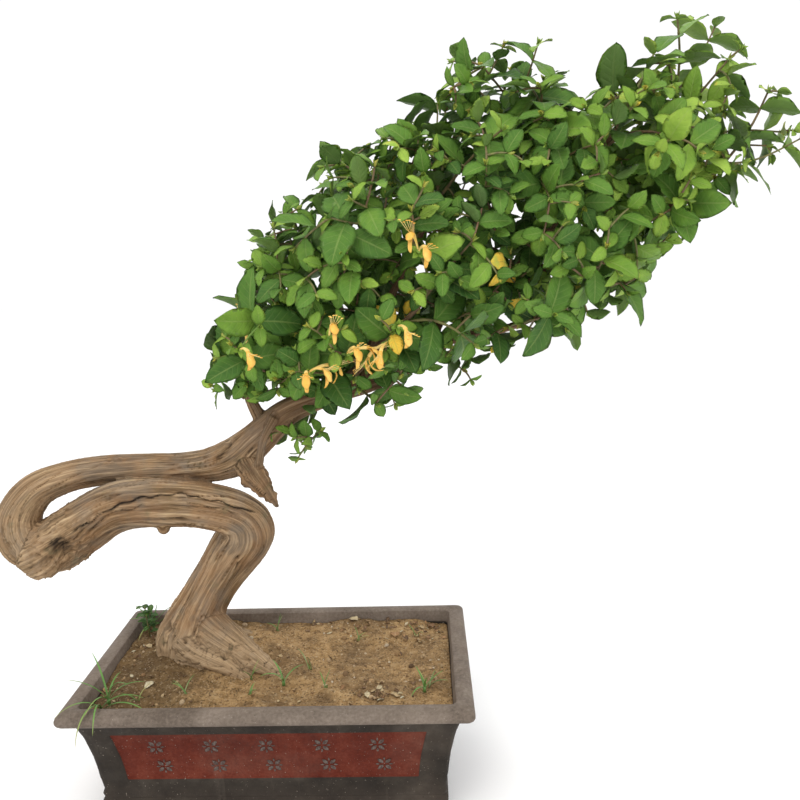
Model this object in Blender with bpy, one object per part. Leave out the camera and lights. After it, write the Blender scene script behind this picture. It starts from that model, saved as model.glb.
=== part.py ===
"""A honeysuckle trained as a leaning tree in a rectangular stoneware pot.

The trunk rises from the soil, folds over to the left, turns back at a burl and carries its crown of
leafy shoots up to the right. Metres, +Z up, standing on the pot's feet.
"""

import math
import random

import bmesh
import bpy
import numpy as np
from mathutils import Vector
from mathutils.bvhtree import BVHTree

GAP = 0.0004  # between a piece and what carries it

# Pot
POT_LENGTH = 0.42
POT_WIDTH = 0.235
CORNER = 0.006
PANEL_DEPTH = 0.0015
PANEL_MARGIN = 0.030  # from the body's corner to the sunk panel
PANEL_STEP = 0.0015
# Outer wall, from the underside up: height, and how far it stands in from the rim's outer edge.
OUTER_WALL = (
    (0.014, 0.0300), (0.016, 0.0280), (0.033, 0.0275), (0.036, 0.0295), (0.041, 0.0280),
    (0.046, 0.0295), (0.0585, 0.0278), (0.060, 0.0274), (0.088, 0.0241), (0.117, 0.0180),
    (0.1185, 0.0174), (0.1345, 0.0125), (0.136, 0.0020), (0.139, 0.0), (0.145, 0.0),
    (0.149, 0.0030), (0.150, 0.0070),
)
PANEL_ROWS = (7, 8, 9)  # rows of the outer wall that lie inside the panel
# Inner wall, from the rim down to the floor.
INNER_WALL = ((0.150, 0.0150), (0.1485, 0.0180), (0.130, 0.0215), (0.100, 0.0290), (0.026, 0.0400))
FOOT = (0.085, 0.055, 0.018)
DRAIN_RADIUS = 0.011
DRAIN_X = 0.095

# Soil
SOIL_TOP = 0.139
SOIL_CELLS = (15, 9)

# Trunk: knots of x, y, z and radius
LOWER_LIMB = (
    (-0.112, 0.028, 0.080, 0.020), (-0.115, 0.028, 0.122, 0.030), (-0.113, 0.030, 0.148, 0.038),
    (-0.107, 0.032, 0.169, 0.035), (-0.099, 0.035, 0.191, 0.028), (-0.084, 0.040, 0.218, 0.0255),
    (-0.061, 0.046, 0.252, 0.028), (-0.042, 0.045, 0.280, 0.030), (-0.049, 0.038, 0.303, 0.026),
    (-0.084, 0.026, 0.320, 0.026), (-0.127, 0.018, 0.327, 0.027), (-0.176, 0.012, 0.325, 0.027),
    (-0.216, 0.008, 0.304, 0.029), (-0.250, 0.008, 0.282, 0.030), (-0.269, 0.010, 0.274, 0.024),
)
UPPER_LIMB = (
    (-0.260, 0.012, 0.270, 0.018), (-0.279, 0.008, 0.286, 0.024), (-0.285, 0.012, 0.312, 0.023),
    (-0.270, 0.022, 0.338, 0.020), (-0.243, 0.034, 0.350, 0.018), (-0.207, 0.042, 0.356, 0.0165),
    (-0.150, 0.046, 0.358, 0.0155), (-0.092, 0.045, 0.359, 0.0165), (-0.050, 0.042, 0.370, 0.021),
    (-0.016, 0.038, 0.396, 0.019), (0.018, 0.035, 0.423, 0.0145), (0.063, 0.035, 0.440, 0.0120),
    (0.130, 0.035, 0.461, 0.0100), (0.197, 0.035, 0.500, 0.0085), (0.263, 0.040, 0.549, 0.0070),
    (0.358, 0.040, 0.595, 0.0050), (0.440, 0.036, 0.634, 0.0030),
)
CROWN_KNOT = 10  # the knot of the upper limb where the crown begins
ROOTS = (
    ((-0.104, 0.030, 0.180, 0.024), (-0.078, 0.016, 0.166, 0.021), (-0.044, -0.002, 0.152, 0.016),
     (0.002, -0.024, 0.134, 0.007)),
    ((-0.112, 0.014, 0.158, 0.022), (-0.088, -0.006, 0.151, 0.017), (-0.058, -0.020, 0.145, 0.013),
     (-0.030, -0.030, 0.133, 0.006)),
    ((-0.110, 0.040, 0.152, 0.016), (-0.138, 0.056, 0.143, 0.012), (-0.160, 0.068, 0.128, 0.005)),
    ((-0.098, 0.042, 0.152, 0.016), (-0.066, 0.056, 0.144, 0.011), (-0.040, 0.070, 0.128, 0.005)),
)
DEAD_STUBS = (
    ((-0.040, 0.040, 0.378, 0.016), (-0.023, 0.028, 0.352, 0.014), (-0.010, 0.022, 0.335, 0.009),
     (0.002, 0.020, 0.316, 0.001)),
    ((0.004, 0.022, 0.418, 0.006), (-0.008, 0.014, 0.396, 0.0045), (-0.016, 0.020, 0.366, 0.0045)),
)
KNOBS = (  # lumps of the burl and a pruned bud under the arch
    (-0.259, 0.000, 0.274, 0.028), (-0.279, 0.006, 0.296, 0.022), (-0.126, 0.012, 0.297, 0.007),
)
BRANCHES = (
    ((-0.008, 0.036, 0.400, 0.009), (-0.026, 0.028, 0.455, 0.0050), (-0.016, 0.020, 0.525, 0.0024)),
    ((0.030, 0.035, 0.427, 0.008), (0.052, 0.065, 0.520, 0.0045), (0.085, 0.082, 0.620, 0.0022)),
    ((0.100, 0.035, 0.452, 0.007), (0.128, 0.010, 0.530, 0.0045), (0.185, 0.002, 0.640, 0.0022)),
    ((0.170, 0.035, 0.485, 0.007), (0.215, 0.078, 0.570, 0.0045), (0.285, 0.100, 0.680, 0.0022)),
    ((0.230, 0.037, 0.525, 0.006), (0.300, 0.018, 0.610, 0.0040), (0.365, 0.020, 0.705, 0.0022)),
    ((0.320, 0.040, 0.577, 0.005), (0.378, 0.068, 0.640, 0.0035), (0.430, 0.078, 0.700, 0.0020)),
    ((0.070, 0.035, 0.443, 0.007), (0.115, -0.018, 0.490, 0.0042), (0.170, -0.046, 0.545, 0.0022)),
    ((0.150, 0.035, 0.472, 0.007), (0.190, 0.095, 0.512, 0.0042), (0.255, 0.130, 0.570, 0.0022)),
    ((0.190, 0.035, 0.496, 0.006), (0.260, 0.008, 0.512, 0.0038), (0.335, -0.002, 0.545, 0.0020)),
)

# Shoots: where each one's tip reaches. The outline of the crown first, then its front and its back.
OUTLINE_TIPS = (
    (-0.070, 0.030, 0.440), (-0.066, 0.045, 0.510), (-0.012, 0.035, 0.548), (0.030, 0.050, 0.630),
    (0.080, 0.050, 0.682), (0.135, 0.040, 0.722), (0.190, 0.055, 0.745), (0.228, 0.030, 0.782),
    (0.290, 0.045, 0.770), (0.352, 0.050, 0.762), (0.400, 0.030, 0.790), (0.430, 0.045, 0.825),
    (0.492, 0.050, 0.782), (0.532, 0.035, 0.742), (0.555, 0.050, 0.700), (0.500, 0.025, 0.655),
    (0.450, 0.045, 0.596), (0.388, 0.030, 0.536), (0.300, 0.050, 0.490), (0.215, 0.035, 0.452),
    (0.122, -0.004, 0.424), (0.040, 0.020, 0.372),
)
FRONT_TIPS = (
    (0.105, -0.055, 0.640), (0.215, -0.065, 0.600), (0.245, -0.040, 0.700), (0.405, -0.030, 0.690),
    (0.340, -0.055, 0.590), (0.010, -0.052, 0.526), (0.290, -0.065, 0.530), (0.215, -0.070, 0.505),
)
BACK_TIPS = (
    (-0.020, 0.115, 0.520), (0.050, 0.145, 0.585), (0.120, 0.155, 0.655), (0.200, 0.165, 0.700),
    (0.300, 0.160, 0.720), (0.390, 0.140, 0.690), (0.340, 0.155, 0.600), (0.210, 0.170, 0.560),
    (0.090, 0.130, 0.480),
)
TIP_INSET = 0.014  # the leaves at a tip reach this far beyond it
CROWN_AXIS = ((0.010, 0.040, 0.495), (0.420, 0.040, 0.700))
FLOWER_TIPS = (  # tip of the shoot, blooms on it
    ((0.160, -0.055, 0.600), 2), ((-0.006, -0.040, 0.488), 1), ((0.042, -0.055, 0.480), 3),
    ((0.082, -0.058, 0.500), 2), ((0.138, -0.062, 0.516), 2),
)
STEM_RADIUS = (0.0017, 0.0010)  # at the root and at the tip
STEM_SIDES = 3
TWIG_RADII = (0.0010, 0.0011, 0.0010, 0.0008)
SEED = 7
STEM_RINGS = 5
PAIR_SPACING = 0.032
TWIG_LENGTH = (0.045, 0.075)
TWIG_STEM = 0.095  # a shoot longer than this carries a side twig
LEAF_SIZE = (0.045, 0.0265)  # length and width of a full-grown leaf
LEAF_THICK = 0.0013  # at the midrib; the blade thins to its margin
BLADE = ((0.27, 0.92), (0.66, 0.90))  # place along the blade, share of its width
CLEARANCE = 0.0005
TRIES = 10

BLOOM_TUBE = 0.024
BLOOM_LIP = 0.024
LIP = ((0.30, 0.75), (0.62, 1.0), (0.90, 0.80))

GRASS_TUFTS = (  # x, y, blades, blade length
    (-0.168, -0.078, 6, 0.062), (-0.172, 0.075, 6, 0.050), (0.009, -0.046, 4, 0.034),
    (0.160, -0.060, 4, 0.030),
)


def material(name, colour, roughness):
    made = bpy.data.materials.new(name)
    made.use_nodes = True
    shader = made.node_tree.nodes["Principled BSDF"]
    shader.inputs["Base Color"].default_value = (*colour, 1.0)
    shader.inputs["Roughness"].default_value = roughness
    return made


def mesh_object(name, points, faces, look=None):
    """A closed mesh as an object, with its faces turned outwards."""
    mesh = bpy.data.meshes.new(name)
    mesh.from_pydata([tuple(p) for p in points], [], faces)
    shape = bmesh.new()
    shape.from_mesh(mesh)
    bmesh.ops.recalc_face_normals(shape, faces=shape.faces)
    shape.to_mesh(mesh)
    shape.free()
    made = bpy.data.objects.new(name, mesh)
    bpy.context.scene.collection.objects.link(made)
    if look:
        mesh.materials.append(look)
    return made


def boolean(target, others, operation, solver="EXACT"):
    """Joins the others to the target, or cuts them out of it, and removes them."""
    group = bpy.data.collections.new("operands")
    bpy.context.scene.collection.children.link(group)
    for other in others:
        for held in other.users_collection:
            held.objects.unlink(other)
        group.objects.link(other)
    change = target.modifiers.new("Boolean", "BOOLEAN")
    change.operation = operation
    change.operand_type = "COLLECTION"
    change.collection = group
    change.solver = solver
    graph = bpy.context.evaluated_depsgraph_get()
    result = bpy.data.meshes.new_from_object(target.evaluated_get(graph))
    target.modifiers.clear()
    target.data = result
    for other in others:
        bpy.data.objects.remove(other)
    bpy.data.collections.remove(group)
    return target


def fused(name, shapes, look):
    """One object from closed shapes, each a (points, faces) pair, that run into each other."""
    first = mesh_object(name, *shapes[0], look)
    rest = [mesh_object(f"{name}_piece", *shape) for shape in shapes[1:]]
    return boolean(first, rest, "UNION", "MANIFOLD") if rest else first


def smooth_path(knots, per_span):
    """Points with their radius on a smooth curve through the knots."""
    rows = [np.array(k, float) for k in knots]
    rows = [2 * rows[0] - rows[1], *rows, 2 * rows[-1] - rows[-2]]
    found = []
    for i in range(1, len(rows) - 2):
        a, b, c, d = rows[i - 1 : i + 3]
        for step in range(per_span):
            t = step / per_span
            found.append(
                0.5 * (2 * b + (c - a) * t + (2 * a - 5 * b + 4 * c - d) * t**2
                       + (3 * b - a - 3 * c + d) * t**3)
            )
    found.append(rows[-2])
    return [(Vector(p[:3]), max(float(p[3]), 0.0005)) for p in found]


def frames_along(path):
    """(point, radius, side, up) at each point of the path, turning as little as it can."""
    points = [p for p, _ in path]
    tangents = [(points[min(i + 1, len(points) - 1)] - points[max(i - 1, 0)]).normalized()
                for i in range(len(points))]
    side = tangents[0].orthogonal().normalized()
    found = []
    for (point, radius), tangent in zip(path, tangents):
        side = (side - tangent * side.dot(tangent)).normalized()
        found.append((point, radius, side, tangent.cross(side)))
    return found


def tube(path, sides, relief=None, swell=0.0):
    """A closed tube along the path. relief(turn, along) scales the radius, swell adds all round."""
    if swell:
        path = [path[0], *path, path[-1]]
        path[0] = (path[0][0] + (path[0][0] - path[2][0]).normalized() * swell, path[0][1])
        path[-1] = (path[-1][0] + (path[-1][0] - path[-3][0]).normalized() * swell, path[-1][1])
    points = [path[0][0]]
    faces = []
    frames = frames_along(path)
    for row, (centre, radius, side, up) in enumerate(frames):
        for k in range(sides):
            turn = 2 * math.pi * (k + 0.5) / sides
            reach = radius * (relief(turn, row - bool(swell)) if relief else 1.0) + swell
            points.append(centre + (side * math.cos(turn) + up * math.sin(turn)) * reach)
    last = len(points)
    points.append(path[-1][0])
    for k in range(sides):
        after = (k + 1) % sides
        faces.append((0, 1 + after, 1 + k))
        faces.append((last, last - sides + k, last - sides + after))
        for row in range(len(path) - 1):
            a, b = 1 + row * sides + k, 1 + row * sides + after
            faces.append((a, b, b + sides))
            faces.append((a, b + sides, a + sides))
    return points, faces


def bark_relief(phase):
    """Long twisted strands round a limb."""
    def scale(turn, row):
        strands = 0.10 * math.sin(3 * turn + 0.22 * row + phase)
        return 1.0 + strands + 0.05 * math.sin(5 * turn - 0.31 * row + 2 * phase)
    return scale


def blade(base, along, up, length, width, droop, fold, stations, thick=LEAF_THICK):
    """A thin closed leaf, keeled below its midrib, that arches by droop radians."""
    side = along.cross(up).normalized()
    up = side.cross(along).normalized()
    bend = droop if abs(droop) > 0.01 else 0.01

    def midrib(t):
        turned = bend * t
        place = base + along * (length * math.sin(turned) / bend)
        return place - up * (length * (1 - math.cos(turned)) / bend)

    points = [base]
    for t, share in stations:
        normal = up * math.cos(bend * t) + along * math.sin(bend * t)
        centre = midrib(t)
        half = width / 2 * share
        rise = normal * (half * fold)
        points += [centre + side * half + rise, centre - side * half + rise, centre - normal * thick]
    tip = len(points)
    points.append(midrib(1.0))
    faces = []
    for k in range(3):
        after = (k + 1) % 3
        faces.append((0, 1 + after, 1 + k))
        faces.append((tip, tip - 3 + k, tip - 3 + after))
        for row in range(len(stations) - 1):
            low, high = 1 + row * 3, 4 + row * 3
            faces.append((low + k, low + after, high + after))
            faces.append((low + k, high + after, high + k))
    return points, faces


def rectangle_loop(half_x, half_y, z, sunk=0.0):
    """One level of the pot's wall, anticlockwise, with the four panels sunk by that much."""
    points = []
    for axis_x, sign in ((True, -1), (False, 1), (True, 1), (False, -1)):
        # The side's own length runs along X for the front and back, and along Y for the ends.
        half, away = (half_x, half_y) if axis_x else (half_y, half_x)
        edge = half - PANEL_MARGIN
        row = [(-half + CORNER, 0.0), (-edge, 0.0), (-edge + PANEL_STEP, sunk),
               (edge - PANEL_STEP, sunk), (edge, 0.0), (half - CORNER, 0.0)]
        for run, inward in row:
            run *= -sign if axis_x else sign
            out = sign * (away - inward)
            points.append(Vector((run, out, z) if axis_x else (out, run, z)))
    return points


def stacked_loops(loops):
    """Points and faces of a closed solid through the loops, capped at both ends."""
    size = len(loops[0])
    points = [p for loop in loops for p in loop]
    faces = [tuple(range(size)), tuple(range(len(points) - size, len(points)))]
    for row in range(len(loops) - 1):
        for k in range(size):
            after = (k + 1) % size
            low = row * size
            faces.append((low + k, low + after, low + size + after, low + size + k))
    return points, faces


def inner_inset(z):
    """How far the pot's inner wall stands in from the rim's outer edge at height z."""
    heights = [h for h, _ in reversed(INNER_WALL)]
    insets = [i for _, i in reversed(INNER_WALL)]
    return float(np.interp(z, heights, insets))


def build_pot(look):
    half_x, half_y = POT_LENGTH / 2, POT_WIDTH / 2
    loops = [
        rectangle_loop(half_x - inset, half_y - inset, z, PANEL_DEPTH if row in PANEL_ROWS else 0.0)
        for row, (z, inset) in enumerate(OUTER_WALL)
    ]
    loops += [rectangle_loop(half_x - inset, half_y - inset, z) for z, inset in INNER_WALL]
    pot = mesh_object("pot", *stacked_loops(loops), look)
    feet = []
    for sx in (-1, 1):
        for sy in (-1, 1):
            bpy.ops.mesh.primitive_cube_add(size=1)
            foot = bpy.context.object
            inset = OUTER_WALL[0][1] + 0.001
            centre = (sx * (half_x - inset - FOOT[0] / 2), sy * (half_y - inset - FOOT[1] / 2), FOOT[2] / 2)
            foot.data.transform(foot.matrix_world)
            for vertex in foot.data.vertices:
                taper = 0.94 if vertex.co.z < 0 else 1.0
                vertex.co = [centre[i] + vertex.co[i] * FOOT[i] * (taper if i < 2 else 1.0) for i in range(3)]
            feet.append(foot)
    boolean(pot, feet, "UNION")
    drains = []
    for sx in (-1, 1):
        bpy.ops.mesh.primitive_cylinder_add(vertices=16, radius=DRAIN_RADIUS, depth=0.06,
                                            location=(sx * DRAIN_X, 0, INNER_WALL[-1][0]))
        drains.append(bpy.context.object)
    boolean(pot, drains, "DIFFERENCE")
    return pot


def soil_height(x, y):
    """The worn, cloddy surface: a mound at the trunk, lower along the walls."""
    mound = 0.009 * math.exp(-((x + 0.09) ** 2 + (y - 0.02) ** 2) / 0.0040)
    clods = 0.0024 * math.sin(31 * x + 2.0) * math.sin(44 * y + 0.7)
    clods += 0.0015 * math.sin(83 * x - 37 * y) + 0.0010 * math.sin(61 * y + 90 * x + 1.0)
    reach = max(abs(x) / (POT_LENGTH / 2), abs(y) / (POT_WIDTH / 2))
    return SOIL_TOP + mound + clods - 0.004 * reach**6


def build_soil(look):
    """A block of soil between the pot's walls, whose top is a field of heights."""
    nx, ny = SOIL_CELLS
    layers = (INNER_WALL[-1][0] + GAP, INNER_WALL[-2][0], None)

    def spot(i, j, level):
        """Where a cell's corner lies in plan, between the walls as they are at that level."""
        u, v = 2 * i / nx - 1, 2 * j / ny - 1
        inset = inner_inset(level) + 2 * GAP
        if abs(u) == 1 and abs(v) == 1:  # inside the pot's chamfered corner
            inset += CORNER / 2
        return u * (POT_LENGTH / 2 - inset), v * (POT_WIDTH / 2 - inset)

    def point(i, j, layer):
        level = layers[layer]
        if level is None:
            level = soil_height(*spot(i, j, SOIL_TOP))
        return Vector((*spot(i, j, level), level))

    rim = [(i, 0) for i in range(nx)] + [(nx, j) for j in range(ny)]
    rim += [(i, ny) for i in range(nx, 0, -1)] + [(0, j) for j in range(ny, 0, -1)]
    points = [point(i, j, layer) for layer in (0, 1) for i, j in rim]
    faces = [tuple(range(len(rim)))]
    top = {}
    for i in range(nx + 1):
        for j in range(ny + 1):
            top[i, j] = len(points)
            points.append(point(i, j, 2))
    for i in range(nx):
        for j in range(ny):
            faces.append((top[i, j], top[i + 1, j], top[i + 1, j + 1]))
            faces.append((top[i, j], top[i + 1, j + 1], top[i, j + 1]))
    for k in range(len(rim)):
        after = (k + 1) % len(rim)
        faces.append((k, after, len(rim) + after, len(rim) + k))
        faces.append((len(rim) + k, len(rim) + after, top[rim[after]], top[rim[k]]))
    soil = mesh_object("soil", points, faces, look)
    return boolean(soil, [fused("trunk_hole", buried_shapes(GAP), None)], "DIFFERENCE")


def buried_shapes(swell=0.0):
    """The foot of the trunk and its roots, which the soil holds."""
    shapes = [tube(smooth_path(LOWER_LIMB, 2), 12, bark_relief(0.4), swell)]
    shapes += [tube(smooth_path(root, 2), 6, bark_relief(1.0 + k), swell) for k, root in enumerate(ROOTS)]
    return shapes


def lump(x, y, z, radius):
    """A rough rounded knob."""
    shape = bmesh.new()
    bmesh.ops.create_icosphere(shape, subdivisions=2, radius=radius)
    points = []
    for vertex in shape.verts:
        p = vertex.co * (1 + 0.09 * math.sin(210 * vertex.co.x + 5) * math.cos(190 * vertex.co.z))
        points.append(p + Vector((x, y, z)))
    faces = [tuple(v.index for v in face.verts) for face in shape.faces]
    shape.free()
    return points, faces


def wood_shapes():
    """The closed shapes that make up the trunk and its branches."""
    shapes = buried_shapes()
    shapes.append(tube(smooth_path(UPPER_LIMB, 2), 10, bark_relief(2.1)))
    shapes += [tube(smooth_path(stub, 2), 6, bark_relief(3.0 * k)) for k, stub in enumerate(DEAD_STUBS)]
    shapes += [lump(*knob) for knob in KNOBS]
    shapes += [tube(smooth_path(branch, 3), 5) for branch in BRANCHES]
    return shapes


def build_trunk(look):
    return fused("trunk", wood_shapes(), look)


def wood_points():
    """(point, tangent, radius) along the wood that shoots can grow from."""
    found = []
    for knots in (UPPER_LIMB[CROWN_KNOT - 1 :], *BRANCHES):
        path = smooth_path(knots, 8)
        for i in range(1, len(path)):
            point, radius = path[i]
            found.append((point, (point - path[i - 1][0]).normalized(), radius))
    return found


def solid_tree(node):
    """The surface of an object, to find what touches it."""
    points = [node.matrix_world @ v.co for v in node.data.vertices]
    return BVHTree.FromPolygons(points, [tuple(p.vertices) for p in node.data.polygons])


def inside(tree, point):
    """True within the closed surface, where a ray crosses the surface an odd number of times."""
    way = Vector((0.31, 0.17, 0.935)).normalized()
    crossings = 0
    hit = tree.ray_cast(point, way)[0]
    while hit:
        crossings += 1
        hit = tree.ray_cast(hit + way * 1e-5, way)[0]
    return crossings % 2 == 1


class Crown:
    """Keeps what has grown, so that stems, blooms and leaves can be placed clear of it."""

    def __init__(self, wood_shapes, most=8000):
        self.names, self.trees = [], []
        self.centres = np.zeros((most, 3))
        self.reaches = np.zeros(most)
        for shape in wood_shapes:
            self.add(shape, "wood")
        self.wood = wood_points()
        self.used = []

    def around(self, shape):
        points = np.array([tuple(p) for p in shape[0]])
        low, high = points.min(axis=0), points.max(axis=0)
        return (low + high) / 2, np.linalg.norm(high - low) / 2

    def add(self, shape, name):
        count = len(self.names)
        self.centres[count], self.reaches[count] = self.around(shape)
        self.names.append(name)
        self.trees.append(BVHTree.FromPolygons(*shape))

    def clear(self, shape, skipped=(), among=None):
        """True where the shape touches none of the solids but those with a skipped name."""
        count = len(self.names)
        centre, reach = self.around(shape)
        apart = np.linalg.norm(self.centres[:count] - centre, axis=1) - self.reaches[:count]
        tree = None
        for i in np.nonzero(apart < reach)[0]:
            name = self.names[i]
            if name in skipped or (among and name != among):
                continue
            tree = tree or BVHTree.FromPolygons(*shape)
            if tree.overlap(self.trees[i]):
                return False
        return True

    def trees_of(self, name):
        return [tree for tree, owner in zip(self.trees, self.names) if owner == name]

    def off_wood(self, points):
        """How far the nearest of the points is from the wood."""
        return min(tree.find_nearest(p)[3] for tree in self.trees_of("wood") for p in points)

    def in_wood(self, point):
        return any(inside(tree, point) for tree in self.trees_of("wood"))

    def root_for(self, tip):
        """The place on the wood that a shoot with this tip grows from."""
        def cost(row):
            point, tangent, radius = row
            away = tip - point
            if away.length < 0.045:
                return 9.0
            crowding = sum(0.04 for place in self.used if (place - point).length < 0.014)
            turn = 1 - away.normalized().dot(tangent)
            return away.length + 0.06 * turn + crowding + (0.05 if radius > 0.012 else 0.0)
        best = min(self.wood, key=cost)
        self.used.append(best[0])
        return best

    def stem_path(self, tip, sway):
        """A fine path from the middle of the wood to the tip, leaving along its branch."""
        root, tangent, _ = self.root_for(tip)
        reach = (tip - root).length
        bend = root + tangent * (0.35 * reach) + (tip - root) * 0.2 + sway * reach
        rows = [root * (1 - t) ** 2 + bend * (2 * t * (1 - t)) + tip * t**2
                for t in np.linspace(0, 1, 49)]
        first_out = next(i for i, row in enumerate(rows) if not self.in_wood(row))
        return rows[max(first_out - 1, 0) :]


def seat(path, crown):
    """The stem's rows and its shape, with an end face that stands GAP off the bark, or None."""
    for shift in range(60):
        trimmed = trim(path, shift * 0.0003)
        rows = [trimmed[round(i * (len(trimmed) - 1) / (STEM_RINGS - 1))] for i in range(STEM_RINGS)]
        shape = tube(list(zip(rows, np.linspace(*STEM_RADIUS, STEM_RINGS))), STEM_SIDES)
        if crown.off_wood(shape[0][: STEM_SIDES + 1]) < GAP * 0.8 or crown.in_wood(rows[0]):
            continue
        if crown.clear(shape):
            return rows, shape
    return None


def trim(path, length):
    """The path without its first stretch of that length."""
    points = list(path)
    while length > 0 and len(points) > 2:
        step = (points[1] - points[0]).length
        if step > length:
            points[0] = points[0].lerp(points[1], length / step)
            break
        length -= step
        points.pop(0)
    return points


def path_length(rows):
    return sum((b - a).length for a, b in zip(rows, rows[1:]))


def along_stem(rows, distance):
    """The point and direction at a distance back from the stem's tip."""
    left = distance
    for a, b in zip(rows[:0:-1], rows[-2::-1]):
        step = (a - b).length
        if step >= left:
            return a.lerp(b, left / step), (a - b).normalized()
        left -= step
    return rows[0].copy(), (rows[1] - rows[0]).normalized()


def outward(point):
    """The direction away from the middle line of the crown."""
    start, end = (Vector(p) for p in CROWN_AXIS)
    along = end - start
    share = min(1.0, max(0.0, (point - start).dot(along) / along.length_squared))
    away = point - (start + along * share)
    return away.normalized() if away.length > 0.005 else Vector((0, 0, 1))


def leaf_pose(point, axis, turn, lean, rng):
    """Direction and upward side of a leaf that leaves the stem at that turn round it."""
    side = axis.cross(Vector((0, 0, 1)))
    side = side.normalized() if side.length > 0.05 else Vector((1, 0, 0))
    up = side.cross(axis)
    out = side * math.cos(turn) + up * math.sin(turn)
    along = (axis * math.cos(lean) + out * math.sin(lean)).normalized()
    along = (along + Vector((0, 0, 0.10 - 0.30 * rng.random()))).normalized()
    stray = Vector((rng.uniform(-1, 1), rng.uniform(-1, 1), rng.uniform(-1, 1))) * 0.45
    facing = (outward(point) + Vector((0, -0.15, 0.55)) + axis * 0.25 + stray).normalized()
    if abs(facing.dot(along)) > 0.90:
        facing = axis
    return along, facing


def place_leaf(crown, owner, point, axis, turn, size, rng):
    """The measures of a leaf on the stem, turned or shortened until it is clear, or None."""
    for attempt in range(TRIES):
        lean = math.radians(62 + 14 * rng.random() - 5 * attempt)
        swing = turn + (0.30 * attempt) * (1 if attempt % 2 else -1) + 0.25 * (rng.random() - 0.5)
        along, up = leaf_pose(point, axis, swing, lean, rng)
        scale = size * (1 - 0.035 * attempt)
        length, width = LEAF_SIZE[0] * scale, LEAF_SIZE[1] * scale * (0.9 + 0.2 * rng.random())
        droop = 0.35 + 0.55 * rng.random()
        fold = 0.03 + 0.07 * rng.random()
        base = point - along * 0.0006
        guard = blade(base, along, up, length * 1.02, width * 1.03, droop, fold, BLADE,
                      LEAF_THICK + 2 * CLEARANCE)
        # The leaves of one stem may meet at their roots, so there only the blades are compared.
        apart = blade(base + along * 0.005, along, up, length - 0.005, width, droop, fold, BLADE)
        if crown.clear(guard, (owner, owner + ":stem")) and crown.clear(apart, among=owner):
            crown.add(guard, owner)
            return base, along, up, length, width, droop, fold
    return None


def leaf_scale(share):
    """Leaves are largest in the middle of a shoot and small towards its tip (share 1)."""
    return 0.66 + 0.46 * math.sin(math.pi * (0.15 + 0.75 * (1 - share)))


def grow_leaves(crown, owner, rows, rng, spacing=None):
    """Opposite pairs down the stem, each pair turned a quarter from the last, and small tip leaves."""
    length = path_length(rows)
    leaves = []
    turn = rng.random() * math.pi
    distance = 0.001
    while distance < length - 0.012:
        point, axis = along_stem(rows, distance)
        small = distance < 0.004
        size = 0.50 if small else leaf_scale(1 - distance / length) * (0.85 + 0.3 * rng.random())
        for half in range(2):
            leaf = place_leaf(crown, owner, point, axis, turn + math.pi * half, size, rng)
            if leaf:
                leaves.append(leaf)
        turn += math.pi / 2 + 0.3 * (rng.random() - 0.5)
        distance += 0.016 if small else (spacing or PAIR_SPACING) * (0.85 + 0.3 * rng.random())
    return leaves


def grow_twig(crown, owner, rows, rng):
    """The path of a side twig on the shoot, clear of all the other nodes, or None."""
    for _ in range(16):
        point, axis = along_stem(rows, path_length(rows) * rng.uniform(0.35, 0.65))
        side = axis.orthogonal().normalized()
        turn = rng.uniform(0, 2 * math.pi)
        out = side * math.cos(turn) + axis.cross(side) * math.sin(turn)
        reach = rng.uniform(*TWIG_LENGTH)
        lift = Vector((0, 0, 0.25 * reach))
        path = [point + (out * (0.80 * t) + axis * (0.35 * t + 0.30 * t * t)) * reach + lift * t * t
                for t in (0.0, 0.25, 0.6, 1.0)]
        shape = twig_shape(path)
        if crown.clear(shape, (owner, owner + ":stem")):
            crown.add(shape, owner + ":stem")
            return path
    return None


def twig_shape(path):
    return tube(list(zip(path, TWIG_RADII)), STEM_SIDES)


def bloom_shapes(base, along, up, scale):
    """One two-lipped flower: a slender tube, a broad lip that curls back and a strap below."""
    length = BLOOM_TUBE * scale
    rows = [(base + along * (length * t) + up * (0.004 * math.sin(2.2 * t)), 0.0010 + 0.0009 * t)
            for t in (0.0, 0.5, 1.0)]
    mouth = rows[-1][0] - along * 0.002
    lip = BLOOM_LIP * scale
    return [
        tube(rows, 4),
        blade(mouth, (along + up * 0.25).normalized(), -up, lip, 0.0085, -2.2, 0.06, LIP, 0.0012),
        blade(mouth, (along - up * 0.35).normalized(), up, lip * 1.05, 0.0042, 2.4, 0.06, LIP, 0.0012),
    ]


def foot_on_stem(stems, point, out):
    """Where a stalk's foot, brought in from that side, stands GAP off the stem."""
    foot = None
    for step in range(50, 0, -1):
        closer = point + out * (0.0001 * step)
        ring = tube([(closer, 0.0012), (closer + out * 0.001, 0.0012)], 4)[0]
        if min(stem.find_nearest(p)[3] for stem in stems for p in ring) < GAP * 0.7:
            break
        foot = closer
    return foot


def stalk_shape(foot, crotch):
    return tube([(foot, 0.0012), (crotch, 0.0016)], 4)


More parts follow.
